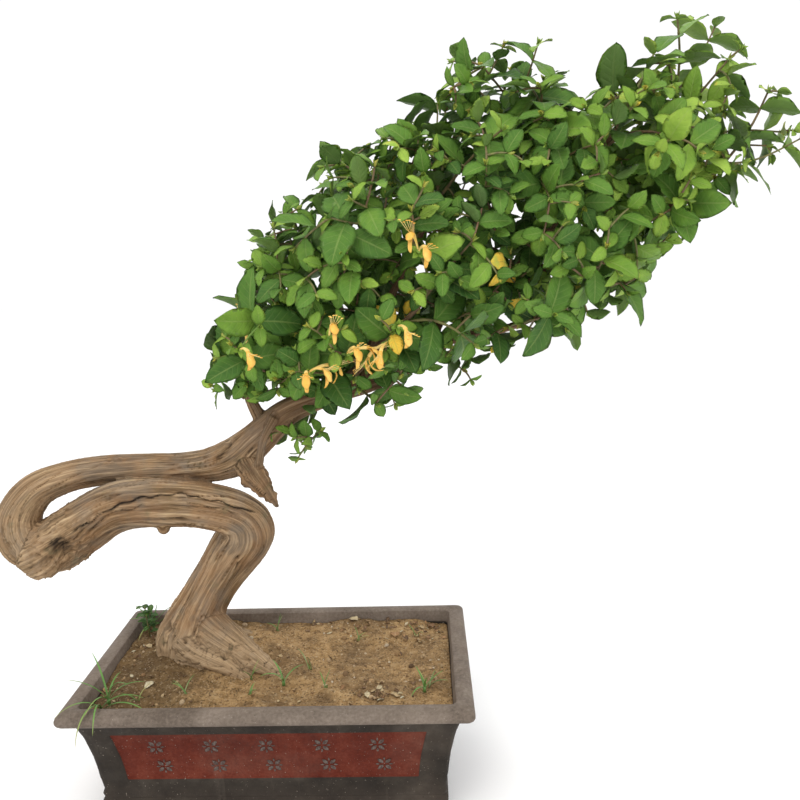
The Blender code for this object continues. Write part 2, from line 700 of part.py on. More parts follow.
def grow_bunch(crown, name, owner, rows, blooms, rng):
    """(foot, crotch, blooms) of the flowers on a shoot, on a stalk just off its stem, or None."""
    for attempt in range(60):
        point, axis = along_stem(rows, 0.010 + 0.0008 * attempt)
        out = Vector((rng.uniform(-0.3, 0.5), -1.0, rng.uniform(0, 0.5)))
        out = (out - axis * out.dot(axis)).normalized()
        foot = foot_on_stem(crown.trees_of(owner + ":stem"), point, out)
        if not foot:
            continue
        crotch = foot + out * 0.006
        found = []
        for k in range(blooms):
            fan = (k - (blooms - 1) / 2) * (1.1 + 0.011 * attempt)
            along = (out + axis * math.sin(fan) + Vector((0, 0, 0.5 - 0.25 * k))).normalized()
            up = (Vector((0, 0, 1)) - along * along.z).normalized()
            found.append((crotch - along * 0.0005, along, up, 0.95 + 0.1 * rng.random()))
        shapes = [stalk_shape(foot, crotch)] + [s for bloom in found for s in bloom_shapes(*bloom)]
        if all(crown.clear(shape, (name,)) for shape in shapes):
            for shape in shapes:
                crown.add(shape, name)
            return foot, crotch, found
    return None


def grow_crown(crown):
    """All the shoots, each a dict of its name, stem rows, twig, leaves and flowers."""
    rng = random.Random(SEED)
    tips = [(Vector(tip), blooms) for tip, blooms in FLOWER_TIPS]
    tips += [(Vector(tip) - outward(Vector(tip)) * TIP_INSET, 0) for tip in OUTLINE_TIPS]
    tips += [(Vector(tip), 0) for tip in (*FRONT_TIPS, *BACK_TIPS)]
    shoots = []
    for number, (tip, blooms) in enumerate(tips, 1):
        for _ in range(12):
            sway = Vector((rng.uniform(-0.08, 0.08), rng.uniform(-0.08, 0.08), rng.uniform(-0.04, 0.10)))
            seated = seat(crown.stem_path(tip, sway), crown)
            if seated:
                break
        if not seated:
            print("no clear way for shoot", number)
            continue
        shoot = {"name": f"shoot_{number:02d}", "rows": seated[0], "blooms": blooms, "twig": None}
        crown.add(seated[1], shoot["name"] + ":stem")
        shoots.append(shoot)
    for number, shoot in enumerate([s for s in shoots if s["blooms"]], 1):
        name = f"flowers_{number}"
        shoot["bunch"] = (name, grow_bunch(crown, name, shoot["name"], shoot["rows"], shoot["blooms"], rng))
    for shoot in shoots:
        if path_length(shoot["rows"]) > TWIG_STEM:
            shoot["twig"] = grow_twig(crown, shoot["name"], shoot["rows"], rng)
    for shoot in shoots:
        shoot["leaves"] = grow_leaves(crown, shoot["name"], shoot["rows"], rng)
        if shoot["twig"]:
            shoot["leaves"] += grow_leaves(crown, shoot["name"], shoot["twig"], rng)
    return shoots


def stem_shape(rows):
    return tube(list(zip(rows, np.linspace(*STEM_RADIUS, STEM_RINGS))), STEM_SIDES)


def build_crown(leaf_look, bloom_look):
    shoots = grow_crown(Crown(wood_shapes()))
    for shoot in shoots:
        shapes = [stem_shape(shoot["rows"])]
        if shoot["twig"]:
            shapes.append(twig_shape(shoot["twig"]))
        shapes += [blade(*leaf, BLADE) for leaf in shoot["leaves"]]
        fused(shoot["name"], shapes, leaf_look)
        name, bunch = shoot.get("bunch", (None, None))
        if bunch:
            foot, crotch, blooms = bunch
            shapes = [stalk_shape(foot, crotch)] + [s for bloom in blooms for s in bloom_shapes(*bloom)]
            fused(name, shapes, bloom_look)
    print(len(shoots), "shoots with", sum(len(shoot["leaves"]) for shoot in shoots), "leaves")


def build_grass(soil, others, look):
    """Tufts whose feet stand on the soil and whose blades arch clear of the pot and the trunk."""
    ground = solid_tree(soil)
    solids = [solid_tree(node) for node in (soil, *others)]
    rng = random.Random(3)
    for number, (x, y, blades, length) in enumerate(GRASS_TUFTS, 1):
        level = max(ground.ray_cast(Vector((x + dx, y + dy, 1)), Vector((0, 0, -1)))[0].z
                    for dx in (-0.002, 0, 0.002) for dy in (-0.002, 0, 0.002))
        foot = Vector((x, y, level + GAP))
        shapes = [tube([(foot, 0.0020), (foot + Vector((0, 0, 0.006)), 0.0016)], 6)]
        for k in range(blades):
            start = foot + Vector((0, 0, 0.0026 + 0.0003 * k))
            for _ in range(30):
                turn = 2 * math.pi * (k + 0.6 * rng.random()) / blades
                out = Vector((math.cos(turn), math.sin(turn), 0))
                along = (out * rng.uniform(0.2, 0.7) + Vector((0, 0, 1))).normalized()
                up = (along * out.dot(along) - out).normalized()
                shape = blade(start, along, up, length * rng.uniform(0.6, 1.0), 0.0034,
                              rng.uniform(0.6, 1.9), 0.05, BLADE, 0.0010)
                tree = BVHTree.FromPolygons(*shape)
                if not any(tree.overlap(solid) for solid in solids):
                    shapes.append(shape)
                    break
        fused(f"grass_{number}", shapes, look)


def stand_over_origin():
    """Moves everything so that the origin is under the middle of the whole, on the ground."""
    bpy.context.view_layer.update()
    nodes = list(bpy.context.scene.objects)
    corners = np.array([node.matrix_world @ v.co for node in nodes for v in node.data.vertices])
    low, high = corners.min(axis=0), corners.max(axis=0)
    shift = Vector((-(low[0] + high[0]) / 2, -(low[1] + high[1]) / 2, -low[2]))
    for node in nodes:
        node.location += shift


def main():
    for old in list(bpy.data.objects):
        bpy.data.objects.remove(old)
    clay = material("clay", (0.105, 0.090, 0.082), 0.65)
    earth = material("earth", (0.30, 0.20, 0.115), 0.95)
    bark = material("bark", (0.30, 0.205, 0.135), 0.85)
    leaf = material("leaf", (0.055, 0.155, 0.035), 0.5)
    petal = material("petal", (0.85, 0.50, 0.10), 0.5)
    grass = material("grass", (0.10, 0.28, 0.05), 0.5)
    pot = build_pot(clay)
    soil = build_soil(earth)
    trunk = build_trunk(bark)
    build_crown(leaf, petal)
    build_grass(soil, (pot, trunk), grass)
    stand_over_origin()


main()
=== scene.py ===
"""A honeysuckle trained as a leaning tree, in its rectangular stoneware pot, on a pale floor."""

import math
import random

import bmesh
import bpy
import numpy as np
from mathutils import Matrix, Vector, noise
from mathutils.bvhtree import BVHTree
from mathutils.kdtree import KDTree


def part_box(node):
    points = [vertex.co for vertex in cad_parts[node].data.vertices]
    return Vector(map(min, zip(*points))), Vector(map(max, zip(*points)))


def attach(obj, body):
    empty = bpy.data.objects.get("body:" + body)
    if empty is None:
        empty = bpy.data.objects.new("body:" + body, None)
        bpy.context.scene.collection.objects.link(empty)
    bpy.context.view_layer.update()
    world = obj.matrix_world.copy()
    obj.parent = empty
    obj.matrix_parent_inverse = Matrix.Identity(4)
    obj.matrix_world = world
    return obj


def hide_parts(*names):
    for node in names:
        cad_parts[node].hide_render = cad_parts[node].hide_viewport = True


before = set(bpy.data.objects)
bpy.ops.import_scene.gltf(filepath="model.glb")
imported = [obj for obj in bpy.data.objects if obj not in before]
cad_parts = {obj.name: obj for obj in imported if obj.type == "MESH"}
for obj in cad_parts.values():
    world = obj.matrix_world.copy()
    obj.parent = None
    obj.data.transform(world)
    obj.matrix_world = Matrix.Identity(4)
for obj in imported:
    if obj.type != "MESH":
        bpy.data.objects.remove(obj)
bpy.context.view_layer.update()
POT_LOW, POT_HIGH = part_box("pot")
SHIFT = Vector(((POT_LOW.x + POT_HIGH.x) / 2, (POT_LOW.y + POT_HIGH.y) / 2, 0.0))

# The camera, as the picture was taken
CAMERA = (0.165, -0.791, 0.601)
YAW, PITCH, ROLL = 1.68, -11.59, -1.75
LENS = 34.65

GAP = 0.0004  # between a piece and what carries it
UPWARD = Vector((0, 0, 1))
SEEDS = {
    "crown": 7, "shoots": 21, "side twigs": 99, "side leaves": 5, "flowers": 8, "lone blooms": 77,
    "litter": 12, "grass": 3, "weeds": 31, "bark": 4,
}

# Pot
POT_LENGTH = 0.42
POT_WIDTH = 0.235
CORNER = 0.006
PANEL_DEPTH = 0.0015
PANEL_MARGIN = 0.030  # from the body's corner to the sunk panel
PANEL_STEP = 0.0015
# Outer wall, from the underside up: height, and how far it stands in from the rim's outer edge.
OUTER_WALL = (
    (0.014, 0.0300), (0.016, 0.0280), (0.033, 0.0275), (0.036, 0.0295), (0.041, 0.0280),
    (0.046, 0.0295), (0.0585, 0.0278), (0.060, 0.0274), (0.088, 0.0241), (0.117, 0.0180),
    (0.1185, 0.0174), (0.1345, 0.0125), (0.136, 0.0020), (0.139, 0.0), (0.145, 0.0),
    (0.149, 0.0030), (0.150, 0.0070),
)
PANEL_ROWS = (7, 8, 9)  # rows of the outer wall that lie inside the panel
# Inner wall, from the rim down to the floor.
INNER_WALL = ((0.150, 0.0150), (0.1485, 0.0180), (0.130, 0.0215), (0.100, 0.0290), (0.026, 0.0400))
FOOT = (0.085, 0.055, 0.018)
DRAIN_RADIUS = 0.011
DRAIN_X = 0.095

# Soil
SOIL_TOP = 0.139

# Trunk: knots of x, y, z and radius
LOWER_LIMB = (
    (-0.112, 0.028, 0.080, 0.020), (-0.115, 0.028, 0.122, 0.030), (-0.113, 0.030, 0.148, 0.038),
    (-0.107, 0.032, 0.169, 0.035), (-0.099, 0.035, 0.191, 0.028), (-0.084, 0.040, 0.218, 0.0255),
    (-0.061, 0.046, 0.252, 0.028), (-0.042, 0.045, 0.280, 0.030), (-0.049, 0.038, 0.303, 0.026),
    (-0.084, 0.026, 0.320, 0.026), (-0.127, 0.018, 0.327, 0.027), (-0.176, 0.012, 0.325, 0.027),
    (-0.216, 0.008, 0.304, 0.029), (-0.250, 0.008, 0.282, 0.030), (-0.269, 0.010, 0.274, 0.024),
)
UPPER_LIMB = (
    (-0.260, 0.012, 0.270, 0.018), (-0.279, 0.008, 0.286, 0.024), (-0.285, 0.012, 0.312, 0.023),
    (-0.270, 0.022, 0.338, 0.020), (-0.243, 0.034, 0.350, 0.018), (-0.207, 0.042, 0.356, 0.0165),
    (-0.150, 0.046, 0.358, 0.0155), (-0.092, 0.045, 0.359, 0.0165), (-0.050, 0.042, 0.370, 0.021),
    (-0.016, 0.038, 0.396, 0.019), (0.018, 0.035, 0.423, 0.0145), (0.063, 0.035, 0.440, 0.0120),
    (0.130, 0.035, 0.461, 0.0100), (0.197, 0.035, 0.500, 0.0085), (0.263, 0.040, 0.549, 0.0070),
    (0.358, 0.040, 0.595, 0.0050), (0.440, 0.036, 0.634, 0.0030),
)
CROWN_KNOT = 10  # the knot of the upper limb where the crown begins
ROOTS = (
    ((-0.104, 0.030, 0.180, 0.024), (-0.078, 0.016, 0.166, 0.021), (-0.044, -0.002, 0.152, 0.016),
     (0.002, -0.024, 0.134, 0.007)),
    ((-0.112, 0.014, 0.158, 0.022), (-0.088, -0.006, 0.151, 0.017), (-0.058, -0.020, 0.145, 0.013),
     (-0.030, -0.030, 0.133, 0.006)),
    ((-0.110, 0.040, 0.152, 0.016), (-0.138, 0.056, 0.143, 0.012), (-0.160, 0.068, 0.128, 0.005)),
    ((-0.098, 0.042, 0.152, 0.016), (-0.066, 0.056, 0.144, 0.011), (-0.040, 0.070, 0.128, 0.005)),
)
DEAD_STUBS = (
    ((-0.040, 0.040, 0.378, 0.016), (-0.023, 0.028, 0.352, 0.014), (-0.010, 0.022, 0.335, 0.009),
     (0.002, 0.020, 0.316, 0.001)),
    ((0.004, 0.022, 0.418, 0.006), (-0.008, 0.014, 0.396, 0.0045), (-0.016, 0.020, 0.366, 0.0045)),
)
KNOBS = (  # lumps of the burl and a pruned bud under the arch
    (-0.259, 0.000, 0.274, 0.028), (-0.279, 0.006, 0.296, 0.022), (-0.126, 0.012, 0.297, 0.007),
)
BRANCHES = (
    ((-0.008, 0.036, 0.400, 0.009), (-0.026, 0.028, 0.455, 0.0050), (-0.016, 0.020, 0.525, 0.0024)),
    ((0.030, 0.035, 0.427, 0.008), (0.052, 0.065, 0.520, 0.0045), (0.085, 0.082, 0.620, 0.0022)),
    ((0.100, 0.035, 0.452, 0.007), (0.128, 0.010, 0.530, 0.0045), (0.185, 0.002, 0.640, 0.0022)),
    ((0.170, 0.035, 0.485, 0.007), (0.215, 0.078, 0.570, 0.0045), (0.285, 0.100, 0.680, 0.0022)),
    ((0.230, 0.037, 0.525, 0.006), (0.300, 0.018, 0.610, 0.0040), (0.365, 0.020, 0.705, 0.0022)),
    ((0.320, 0.040, 0.577, 0.005), (0.378, 0.068, 0.640, 0.0035), (0.430, 0.078, 0.700, 0.0020)),
    ((0.070, 0.035, 0.443, 0.007), (0.115, -0.018, 0.490, 0.0042), (0.170, -0.046, 0.545, 0.0022)),
    ((0.150, 0.035, 0.472, 0.007), (0.190, 0.095, 0.512, 0.0042), (0.255, 0.130, 0.570, 0.0022)),
    ((0.190, 0.035, 0.496, 0.006), (0.260, 0.008, 0.512, 0.0038), (0.335, -0.002, 0.545, 0.0020)),
)
# Sides of the lower limb, a root, the upper limb, a stub and a branch, rings to a knot as a multiple of
# the plain ones, and rings to a knot of a branch.
PLAIN_WOOD = ((12, 6, 10, 6, 5), 1, 3)
FINE_WOOD = ((48, 28, 40, 20, 16), 4, 9)

# Shoots: where each one's tip reaches. The outline of the crown first, then its front and its back.
OUTLINE_TIPS = (
    (-0.070, 0.030, 0.440), (-0.066, 0.045, 0.510), (-0.012, 0.035, 0.548), (0.030, 0.050, 0.630),
    (0.080, 0.050, 0.682), (0.135, 0.040, 0.722), (0.190, 0.055, 0.745), (0.228, 0.030, 0.782),
    (0.290, 0.045, 0.770), (0.352, 0.050, 0.762), (0.400, 0.030, 0.790), (0.430, 0.045, 0.825),
    (0.492, 0.050, 0.782), (0.532, 0.035, 0.742), (0.555, 0.050, 0.700), (0.500, 0.025, 0.655),
    (0.450, 0.045, 0.596), (0.388, 0.030, 0.536), (0.300, 0.050, 0.490), (0.215, 0.035, 0.452),
    (0.122, -0.004, 0.424), (0.040, 0.020, 0.372),
)
FRONT_TIPS = (
    (0.105, -0.055, 0.640), (0.215, -0.065, 0.600), (0.245, -0.040, 0.700), (0.405, -0.030, 0.690),
    (0.340, -0.055, 0.590), (0.010, -0.052, 0.526), (0.290, -0.065, 0.530), (0.215, -0.070, 0.505),
)
BACK_TIPS = (
    (-0.020, 0.115, 0.520), (0.050, 0.145, 0.585), (0.120, 0.155, 0.655), (0.200, 0.165, 0.700),
    (0.300, 0.160, 0.720), (0.390, 0.140, 0.690), (0.340, 0.155, 0.600), (0.210, 0.170, 0.560),
    (0.090, 0.130, 0.480),
)
TIP_INSET = 0.014  # the leaves at a tip reach this far beyond it
CROWN_AXIS = ((0.010, 0.040, 0.495), (0.420, 0.040, 0.700))
FLOWER_TIPS = (  # tip of the shoot, blooms on it
    ((0.160, -0.055, 0.600), 2), ((-0.006, -0.040, 0.488), 1), ((0.042, -0.055, 0.480), 3),
    ((0.082, -0.058, 0.500), 2), ((0.138, -0.062, 0.516), 2),
)
STEM_RADIUS = (0.0017, 0.0010)  # at the root and at the tip
STEM_SIDES = 3
TWIG_RADII = (0.0010, 0.0011, 0.0010, 0.0008)
STEM_RINGS = 5
PAIR_SPACING = 0.032
TIP_PAIR = 0.004  # pairs nearer the tip than this are small
TWIG_LENGTH = (0.045, 0.075)
TWIG_STEM = 0.095  # a shoot longer than this carries a side twig
LEAF_SIZE = (0.045, 0.0265)  # length and width of a full-grown leaf
LEAF_THICK = 0.0013  # at the midrib; the blade thins to its margin
BLADE = ((0.27, 0.92), (0.66, 0.90))  # place along the blade, share of its width
CLEARANCE = 0.0005
# How often a leaf, a side twig, a bunch, a shoot or a blade of grass is tried before it is left out
LEAF_TRIES, TWIG_TRIES, BUNCH_TRIES, SHOOT_TRIES, BLADE_TRIES = 10, 16, 60, 12, 30
THIN_WOOD = 0.012  # radius of the wood that shoots prefer and that side twigs keep to

BLOOM_TUBE = 0.024
BLOOM_LIP = 0.024
LIP = ((0.30, 0.75), (0.62, 1.0), (0.90, 0.80))

GRASS_TUFTS = (  # x, y, blades, blade length
    (-0.168, -0.078, 6, 0.062), (-0.172, 0.075, 6, 0.050), (0.009, -0.046, 4, 0.034),
    (0.160, -0.060, 4, 0.030),
)


def heading(turn, rise=0.0):
    """The level direction at that turn, with a rise added."""
    return Vector((math.cos(turn), math.sin(turn), rise))


def turned(side, axis, turn):
    """The side, turned round the axis that it is square to."""
    return side * math.cos(turn) + axis.cross(side) * math.sin(turn)


def smooth_path(knots, per_span):
    """Points with their radius on a smooth curve through the knots."""
    rows = [np.array(k, float) for k in knots]
    rows = [2 * rows[0] - rows[1], *rows, 2 * rows[-1] - rows[-2]]
    found = []
    for i in range(1, len(rows) - 2):
        a, b, c, d = rows[i - 1 : i + 3]
        for step in range(per_span):
            t = step / per_span
            found.append(
                0.5 * (2 * b + (c - a) * t + (2 * a - 5 * b + 4 * c - d) * t**2
                       + (3 * b - a - 3 * c + d) * t**3)
            )
    found.append(rows[-2])
    return [(Vector(p[:3]), max(float(p[3]), 0.0005)) for p in found]


def frames_along(path):
    """(point, radius, side, up) at each point of the path, turning as little as it can."""
    points = [p for p, _ in path]
    tangents = [(points[min(i + 1, len(points) - 1)] - points[max(i - 1, 0)]).normalized()
                for i in range(len(points))]
    side = tangents[0].orthogonal().normalized()
    found = []
    for (point, radius), tangent in zip(path, tangents):
        side = (side - tangent * side.dot(tangent)).normalized()
        found.append((point, radius, side, tangent.cross(side)))
    return found


def tube(path, sides, relief=None):
    """A closed tube along the path. relief(turn, row) scales the radius."""
    points = [path[0][0]]
    faces = []
    for row, (centre, radius, side, up) in enumerate(frames_along(path)):
        for k in range(sides):
            turn = 2 * math.pi * (k + 0.5) / sides
            reach = radius * (relief(turn, row) if relief else 1.0)
            points.append(centre + (side * math.cos(turn) + up * math.sin(turn)) * reach)
    last = len(points)
    points.append(path[-1][0])
    for k in range(sides):
        after = (k + 1) % sides
        faces.append((0, 1 + after, 1 + k))
        faces.append((last, last - sides + k, last - sides + after))
        for row in range(len(path) - 1):
            a, b = 1 + row * sides + k, 1 + row * sides + after
            faces.append((a, b, b + sides))
            faces.append((a, b + sides, a + sides))
    return points, faces


def bark_relief(phase):
    """Long twisted strands round a limb."""
    def scale(turn, row):
        strands = 0.10 * math.sin(3 * turn + 0.22 * row + phase)
        return 1.0 + strands + 0.05 * math.sin(5 * turn - 0.31 * row + 2 * phase)
    return scale


def blade(base, along, up, length, width, droop, fold, stations, thick=LEAF_THICK):
    """A thin closed leaf, keeled below its midrib, that arches by droop radians."""
    side = along.cross(up).normalized()
    up = side.cross(along).normalized()
    bend = droop if abs(droop) > 0.01 else 0.01

    def midrib(t):
        place = base + along * (length * math.sin(bend * t) / bend)
        return place - up * (length * (1 - math.cos(bend * t)) / bend)

    points = [base]
    for t, share in stations:
        normal = up * math.cos(bend * t) + along * math.sin(bend * t)
        centre = midrib(t)
        half = width / 2 * share
        rise = normal * (half * fold)
        points += [centre + side * half + rise, centre - side * half + rise, centre - normal * thick]
    tip = len(points)
    points.append(midrib(1.0))
    faces = []
    for k in range(3):
        after = (k + 1) % 3
        faces.append((0, 1 + after, 1 + k))
        faces.append((tip, tip - 3 + k, tip - 3 + after))
        for row in range(len(stations) - 1):
            low, high = 1 + row * 3, 4 + row * 3
            faces.append((low + k, low + after, high + after))
            faces.append((low + k, high + after, high + k))
    return points, faces


def stacked_loops(loops):
    """Points and faces of a closed solid through the loops, capped at both ends."""
    size = len(loops[0])
    points = [p for loop in loops for p in loop]
    faces = [tuple(range(size)), tuple(range(len(points) - size, len(points)))]
    for row in range(len(loops) - 1):
        for k in range(size):
            after = (k + 1) % size
            low = row * size
            faces.append((low + k, low + after, low + size + after, low + size + k))
    return points, faces


def inner_inset(z):
    """How far the pot's inner wall stands in from the rim's outer edge at height z."""
    heights, insets = zip(*reversed(INNER_WALL))
    return float(np.interp(z, heights, insets))


def soil_height(x, y):
    """The worn, cloddy surface: a mound at the trunk, lower along the walls."""
    mound = 0.009 * math.exp(-((x + 0.09) ** 2 + (y - 0.02) ** 2) / 0.0040)
    clods = 0.0024 * math.sin(31 * x + 2.0) * math.sin(44 * y + 0.7)
    clods += 0.0015 * math.sin(83 * x - 37 * y) + 0.0010 * math.sin(61 * y + 90 * x + 1.0)
    reach = max(abs(x) / (POT_LENGTH / 2), abs(y) / (POT_WIDTH / 2))
    return SOIL_TOP + mound + clods - 0.004 * reach**6


def lump(x, y, z, radius):
    """A rough rounded knob."""
    shape = bmesh.new()
    bmesh.ops.create_icosphere(shape, subdivisions=2, radius=radius)
    points = []
    for vertex in shape.verts:
        p = vertex.co * (1 + 0.09 * math.sin(210 * vertex.co.x + 5) * math.cos(190 * vertex.co.z))
        points.append(p + Vector((x, y, z)))
    faces = [tuple(v.index for v in face.verts) for face in shape.faces]
    shape.free()
    return points, faces


def wood_shapes(sides, dense, branch_rings):
    """The closed shapes that make up the trunk and its branches."""
    def limb(knots, count, phase):
        relief = bark_relief(phase)
        return tube(smooth_path(knots, 2 * dense), count, lambda turn, row: relief(turn, row / dense))

    lower, root, upper, stub, branch = sides
    shapes = [limb(LOWER_LIMB, lower, 0.4)]
    shapes += [limb(knots, root, 1.0 + k) for k, knots in enumerate(ROOTS)]
    shapes.append(limb(UPPER_LIMB, upper, 2.1))
    shapes += [limb(knots, stub, 3.0 * k) for k, knots in enumerate(DEAD_STUBS)]
    shapes += [lump(*knob) for knob in KNOBS]
    return shapes + [tube(smooth_path(knots, branch_rings), branch) for knots in BRANCHES]


def wood_points():
    """(point, tangent, radius) along the wood that shoots can grow from."""
    found = []
    for knots in (UPPER_LIMB[CROWN_KNOT - 1 :], *BRANCHES):
        path = smooth_path(knots, 8)
        for i in range(1, len(path)):
            point, radius = path[i]
            found.append((point, (point - path[i - 1][0]).normalized(), radius))
    return found


def inside(tree, point):
    """True within the closed surface, where a ray crosses the surface an odd number of times."""
    way = Vector((0.31, 0.17, 0.935)).normalized()
    crossings = 0
    hit = tree.ray_cast(point, way)[0]
    while hit:
        crossings += 1
        hit = tree.ray_cast(hit + way * 1e-5, way)[0]
    return crossings % 2 == 1


class Crown:
    """Keeps what has grown, so that stems, blooms and leaves can be placed clear of it."""

    def __init__(self, wood, most=8000):
        self.names, self.trees = [], []
        self.centres = np.zeros((most, 3))
        self.reaches = np.zeros(most)
        for shape in wood:
            self.add(shape, "wood")
        self.wood = wood_points()
        self.used = []

    def around(self, shape):
        points = np.array([tuple(p) for p in shape[0]])
        low, high = points.min(axis=0), points.max(axis=0)
        return (low + high) / 2, np.linalg.norm(high - low) / 2

    def add(self, shape, name):
        count = len(self.names)
        self.centres[count], self.reaches[count] = self.around(shape)
        self.names.append(name)
        self.trees.append(BVHTree.FromPolygons(*shape))

    def clear(self, shape, skipped=(), among=None):
        """True where the shape touches none of the solids but those with a skipped name."""
        count = len(self.names)
        centre, reach = self.around(shape)
        apart = np.linalg.norm(self.centres[:count] - centre, axis=1) - self.reaches[:count]
        tree = None
        for i in np.nonzero(apart < reach)[0]:
            name = self.names[i]
            if name in skipped or (among and name != among):
                continue
            tree = tree or BVHTree.FromPolygons(*shape)
            if tree.overlap(self.trees[i]):
                return False
        return True

    def trees_of(self, name):
        return [tree for tree, owner in zip(self.trees, self.names) if owner == name]

    def off_wood(self, points):
        """How far the nearest of the points is from the wood."""
        return min(tree.find_nearest(p)[3] for tree in self.trees_of("wood") for p in points)

    def in_wood(self, point):
        return any(inside(tree, point) for tree in self.trees_of("wood"))

    def root_for(self, tip):
        """The place on the wood that a shoot with this tip grows from."""
        def cost(row):
            point, tangent, radius = row
            away = tip - point
            if away.length < 0.045:
                return 9.0
            crowding = sum(0.04 for place in self.used if (place - point).length < 0.014)
            turn = 1 - away.normalized().dot(tangent)
            return away.length + 0.06 * turn + crowding + (0.05 if radius > THIN_WOOD else 0.0)
        best = min(self.wood, key=cost)
        self.used.append(best[0])
        return best

    def stem_path(self, tip, sway):
        """A fine path from the middle of the wood to the tip, leaving along its branch."""
        root, tangent, _ = self.root_for(tip)
        reach = (tip - root).length
        bend = root + tangent * (0.35 * reach) + (tip - root) * 0.2 + sway * reach
        rows = [root * (1 - t) ** 2 + bend * (2 * t * (1 - t)) + tip * t**2
                for t in np.linspace(0, 1, 49)]
        first_out = next(i for i, row in enumerate(rows) if not self.in_wood(row))
        return rows[max(first_out - 1, 0) :]


def seat(path, crown):
    """The stem's rows and its shape, with an end face that stands GAP off the bark, or None."""
    for shift in range(60):
        trimmed = trim(path, shift * 0.0003)
        rows = [trimmed[round(i * (len(trimmed) - 1) / (STEM_RINGS - 1))] for i in range(STEM_RINGS)]
        shape = tube(list(zip(rows, np.linspace(*STEM_RADIUS, STEM_RINGS))), STEM_SIDES)
        if crown.off_wood(shape[0][: STEM_SIDES + 1]) < GAP * 0.8 or crown.in_wood(rows[0]):
            continue
        if crown.clear(shape):
            return rows, shape
    return None


def trim(path, length):
    """The path without its first stretch of that length."""
    points = list(path)
    while length > 0 and len(points) > 2:
        step = (points[1] - points[0]).length
        if step > length:
            points[0] = points[0].lerp(points[1], length / step)
            break
        length -= step
        points.pop(0)
    return points


def path_length(rows):
    return sum((b - a).length for a, b in zip(rows, rows[1:]))


def along_stem(rows, distance):
    """The point and direction at a distance back from the stem's tip."""
    left = distance
    for a, b in zip(rows[:0:-1], rows[-2::-1]):
        step = (a - b).length
        if step >= left:
            return a.lerp(b, left / step), (a - b).normalized()
        left -= step
    return rows[0].copy(), (rows[1] - rows[0]).normalized()


def outward(point):
    """The direction away from the middle line of the crown."""
    start, end = (Vector(p) for p in CROWN_AXIS)
    along = end - start
    share = min(1.0, max(0.0, (point - start).dot(along) / along.length_squared))
    away = point - (start + along * share)
    return away.normalized() if away.length > 0.005 else UPWARD


def leaf_pose(point, axis, turn, lean, rng):
    """Direction and upward side of a leaf that leaves the stem at that turn round it."""
    side = axis.cross(UPWARD)
    side = side.normalized() if side.length > 0.05 else Vector((1, 0, 0))
    up = side.cross(axis)
    out = side * math.cos(turn) + up * math.sin(turn)
    along = (axis * math.cos(lean) + out * math.sin(lean)).normalized()
    along = (along + Vector((0, 0, 0.10 - 0.30 * rng.random()))).normalized()
    stray = Vector((rng.uniform(-1, 1), rng.uniform(-1, 1), rng.uniform(-1, 1))) * 0.45
    facing = (outward(point) + Vector((0, -0.15, 0.55)) + axis * 0.25 + stray).normalized()
    if abs(facing.dot(along)) > 0.90:
        facing = axis
    return along, facing


def place_leaf(crown, owner, point, axis, turn, size, rng):
    """The measures of a leaf on the stem, turned or shortened until it is clear, or None."""
    for attempt in range(LEAF_TRIES):
        lean = math.radians(62 + 14 * rng.random() - 5 * attempt)
        swing = turn + (0.30 * attempt) * (1 if attempt % 2 else -1) + 0.25 * (rng.random() - 0.5)
        along, up = leaf_pose(point, axis, swing, lean, rng)
        scale = size * (1 - 0.035 * attempt)
        length, width = LEAF_SIZE[0] * scale, LEAF_SIZE[1] * scale * (0.9 + 0.2 * rng.random())
        droop = 0.35 + 0.55 * rng.random()
        fold = 0.03 + 0.07 * rng.random()
        base = point - along * 0.0006
        guard = blade(base, along, up, length * 1.02, width * 1.03, droop, fold, BLADE,
                      LEAF_THICK + 2 * CLEARANCE)
        # The leaves of one stem may meet at their roots, so there only the blades are compared.
        apart = blade(base + along * 0.005, along, up, length - 0.005, width, droop, fold, BLADE)
        if crown.clear(guard, (owner, owner + ":stem")) and crown.clear(apart, among=owner):
            crown.add(guard, owner)
            return base, along, up, length, width, droop, fold
    return None


def leaf_scale(share):
    """Leaves are largest in the middle of a shoot and small towards its tip (share 1)."""
    return 0.66 + 0.46 * math.sin(math.pi * (0.15 + 0.75 * (1 - share)))


def leaf_pairs(crown, owner, rows, rng, stop, size_at, step_at):
    """Opposite pairs of leaves back from a stem's tip, each pair turned a quarter from the last."""
    length = path_length(rows)
    leaves = []
    turn = rng.random() * math.pi
    distance = 0.001
    while distance < length - stop:
        point, axis = along_stem(rows, distance)
        size = size_at(distance, length)
        for half in range(2):
            leaf = place_leaf(crown, owner, point, axis, turn + math.pi * half, size, rng)
            if leaf:
                leaves.append(leaf)
        turn += math.pi / 2 + 0.3 * (rng.random() - 0.5)
        distance += step_at(distance)
    return leaves


def shoot_leaves(crown, owner, rows, rng):
    """Full leaves down a shoot, with a small pair at its tip."""
    def size_at(distance, length):
        if distance < TIP_PAIR:
            return 0.50
        return leaf_scale(1 - distance / length) * (0.85 + 0.3 * rng.random())

    def step_at(distance):
        return 0.016 if distance < TIP_PAIR else PAIR_SPACING * (0.85 + 0.3 * rng.random())

    return leaf_pairs(crown, owner, rows, rng, 0.012, size_at, step_at)


def twig_leaves(crown, owner, rows, rng, tip_size):
    """Close pairs of smaller leaves down a slender twig."""
    return leaf_pairs(
        crown, owner, rows, rng, 0.006,
        lambda distance, _: (tip_size + 0.48 * min(1.0, distance / 0.030)) * rng.uniform(0.8, 1.2),
        lambda _: rng.uniform(0.010, 0.017),
    )


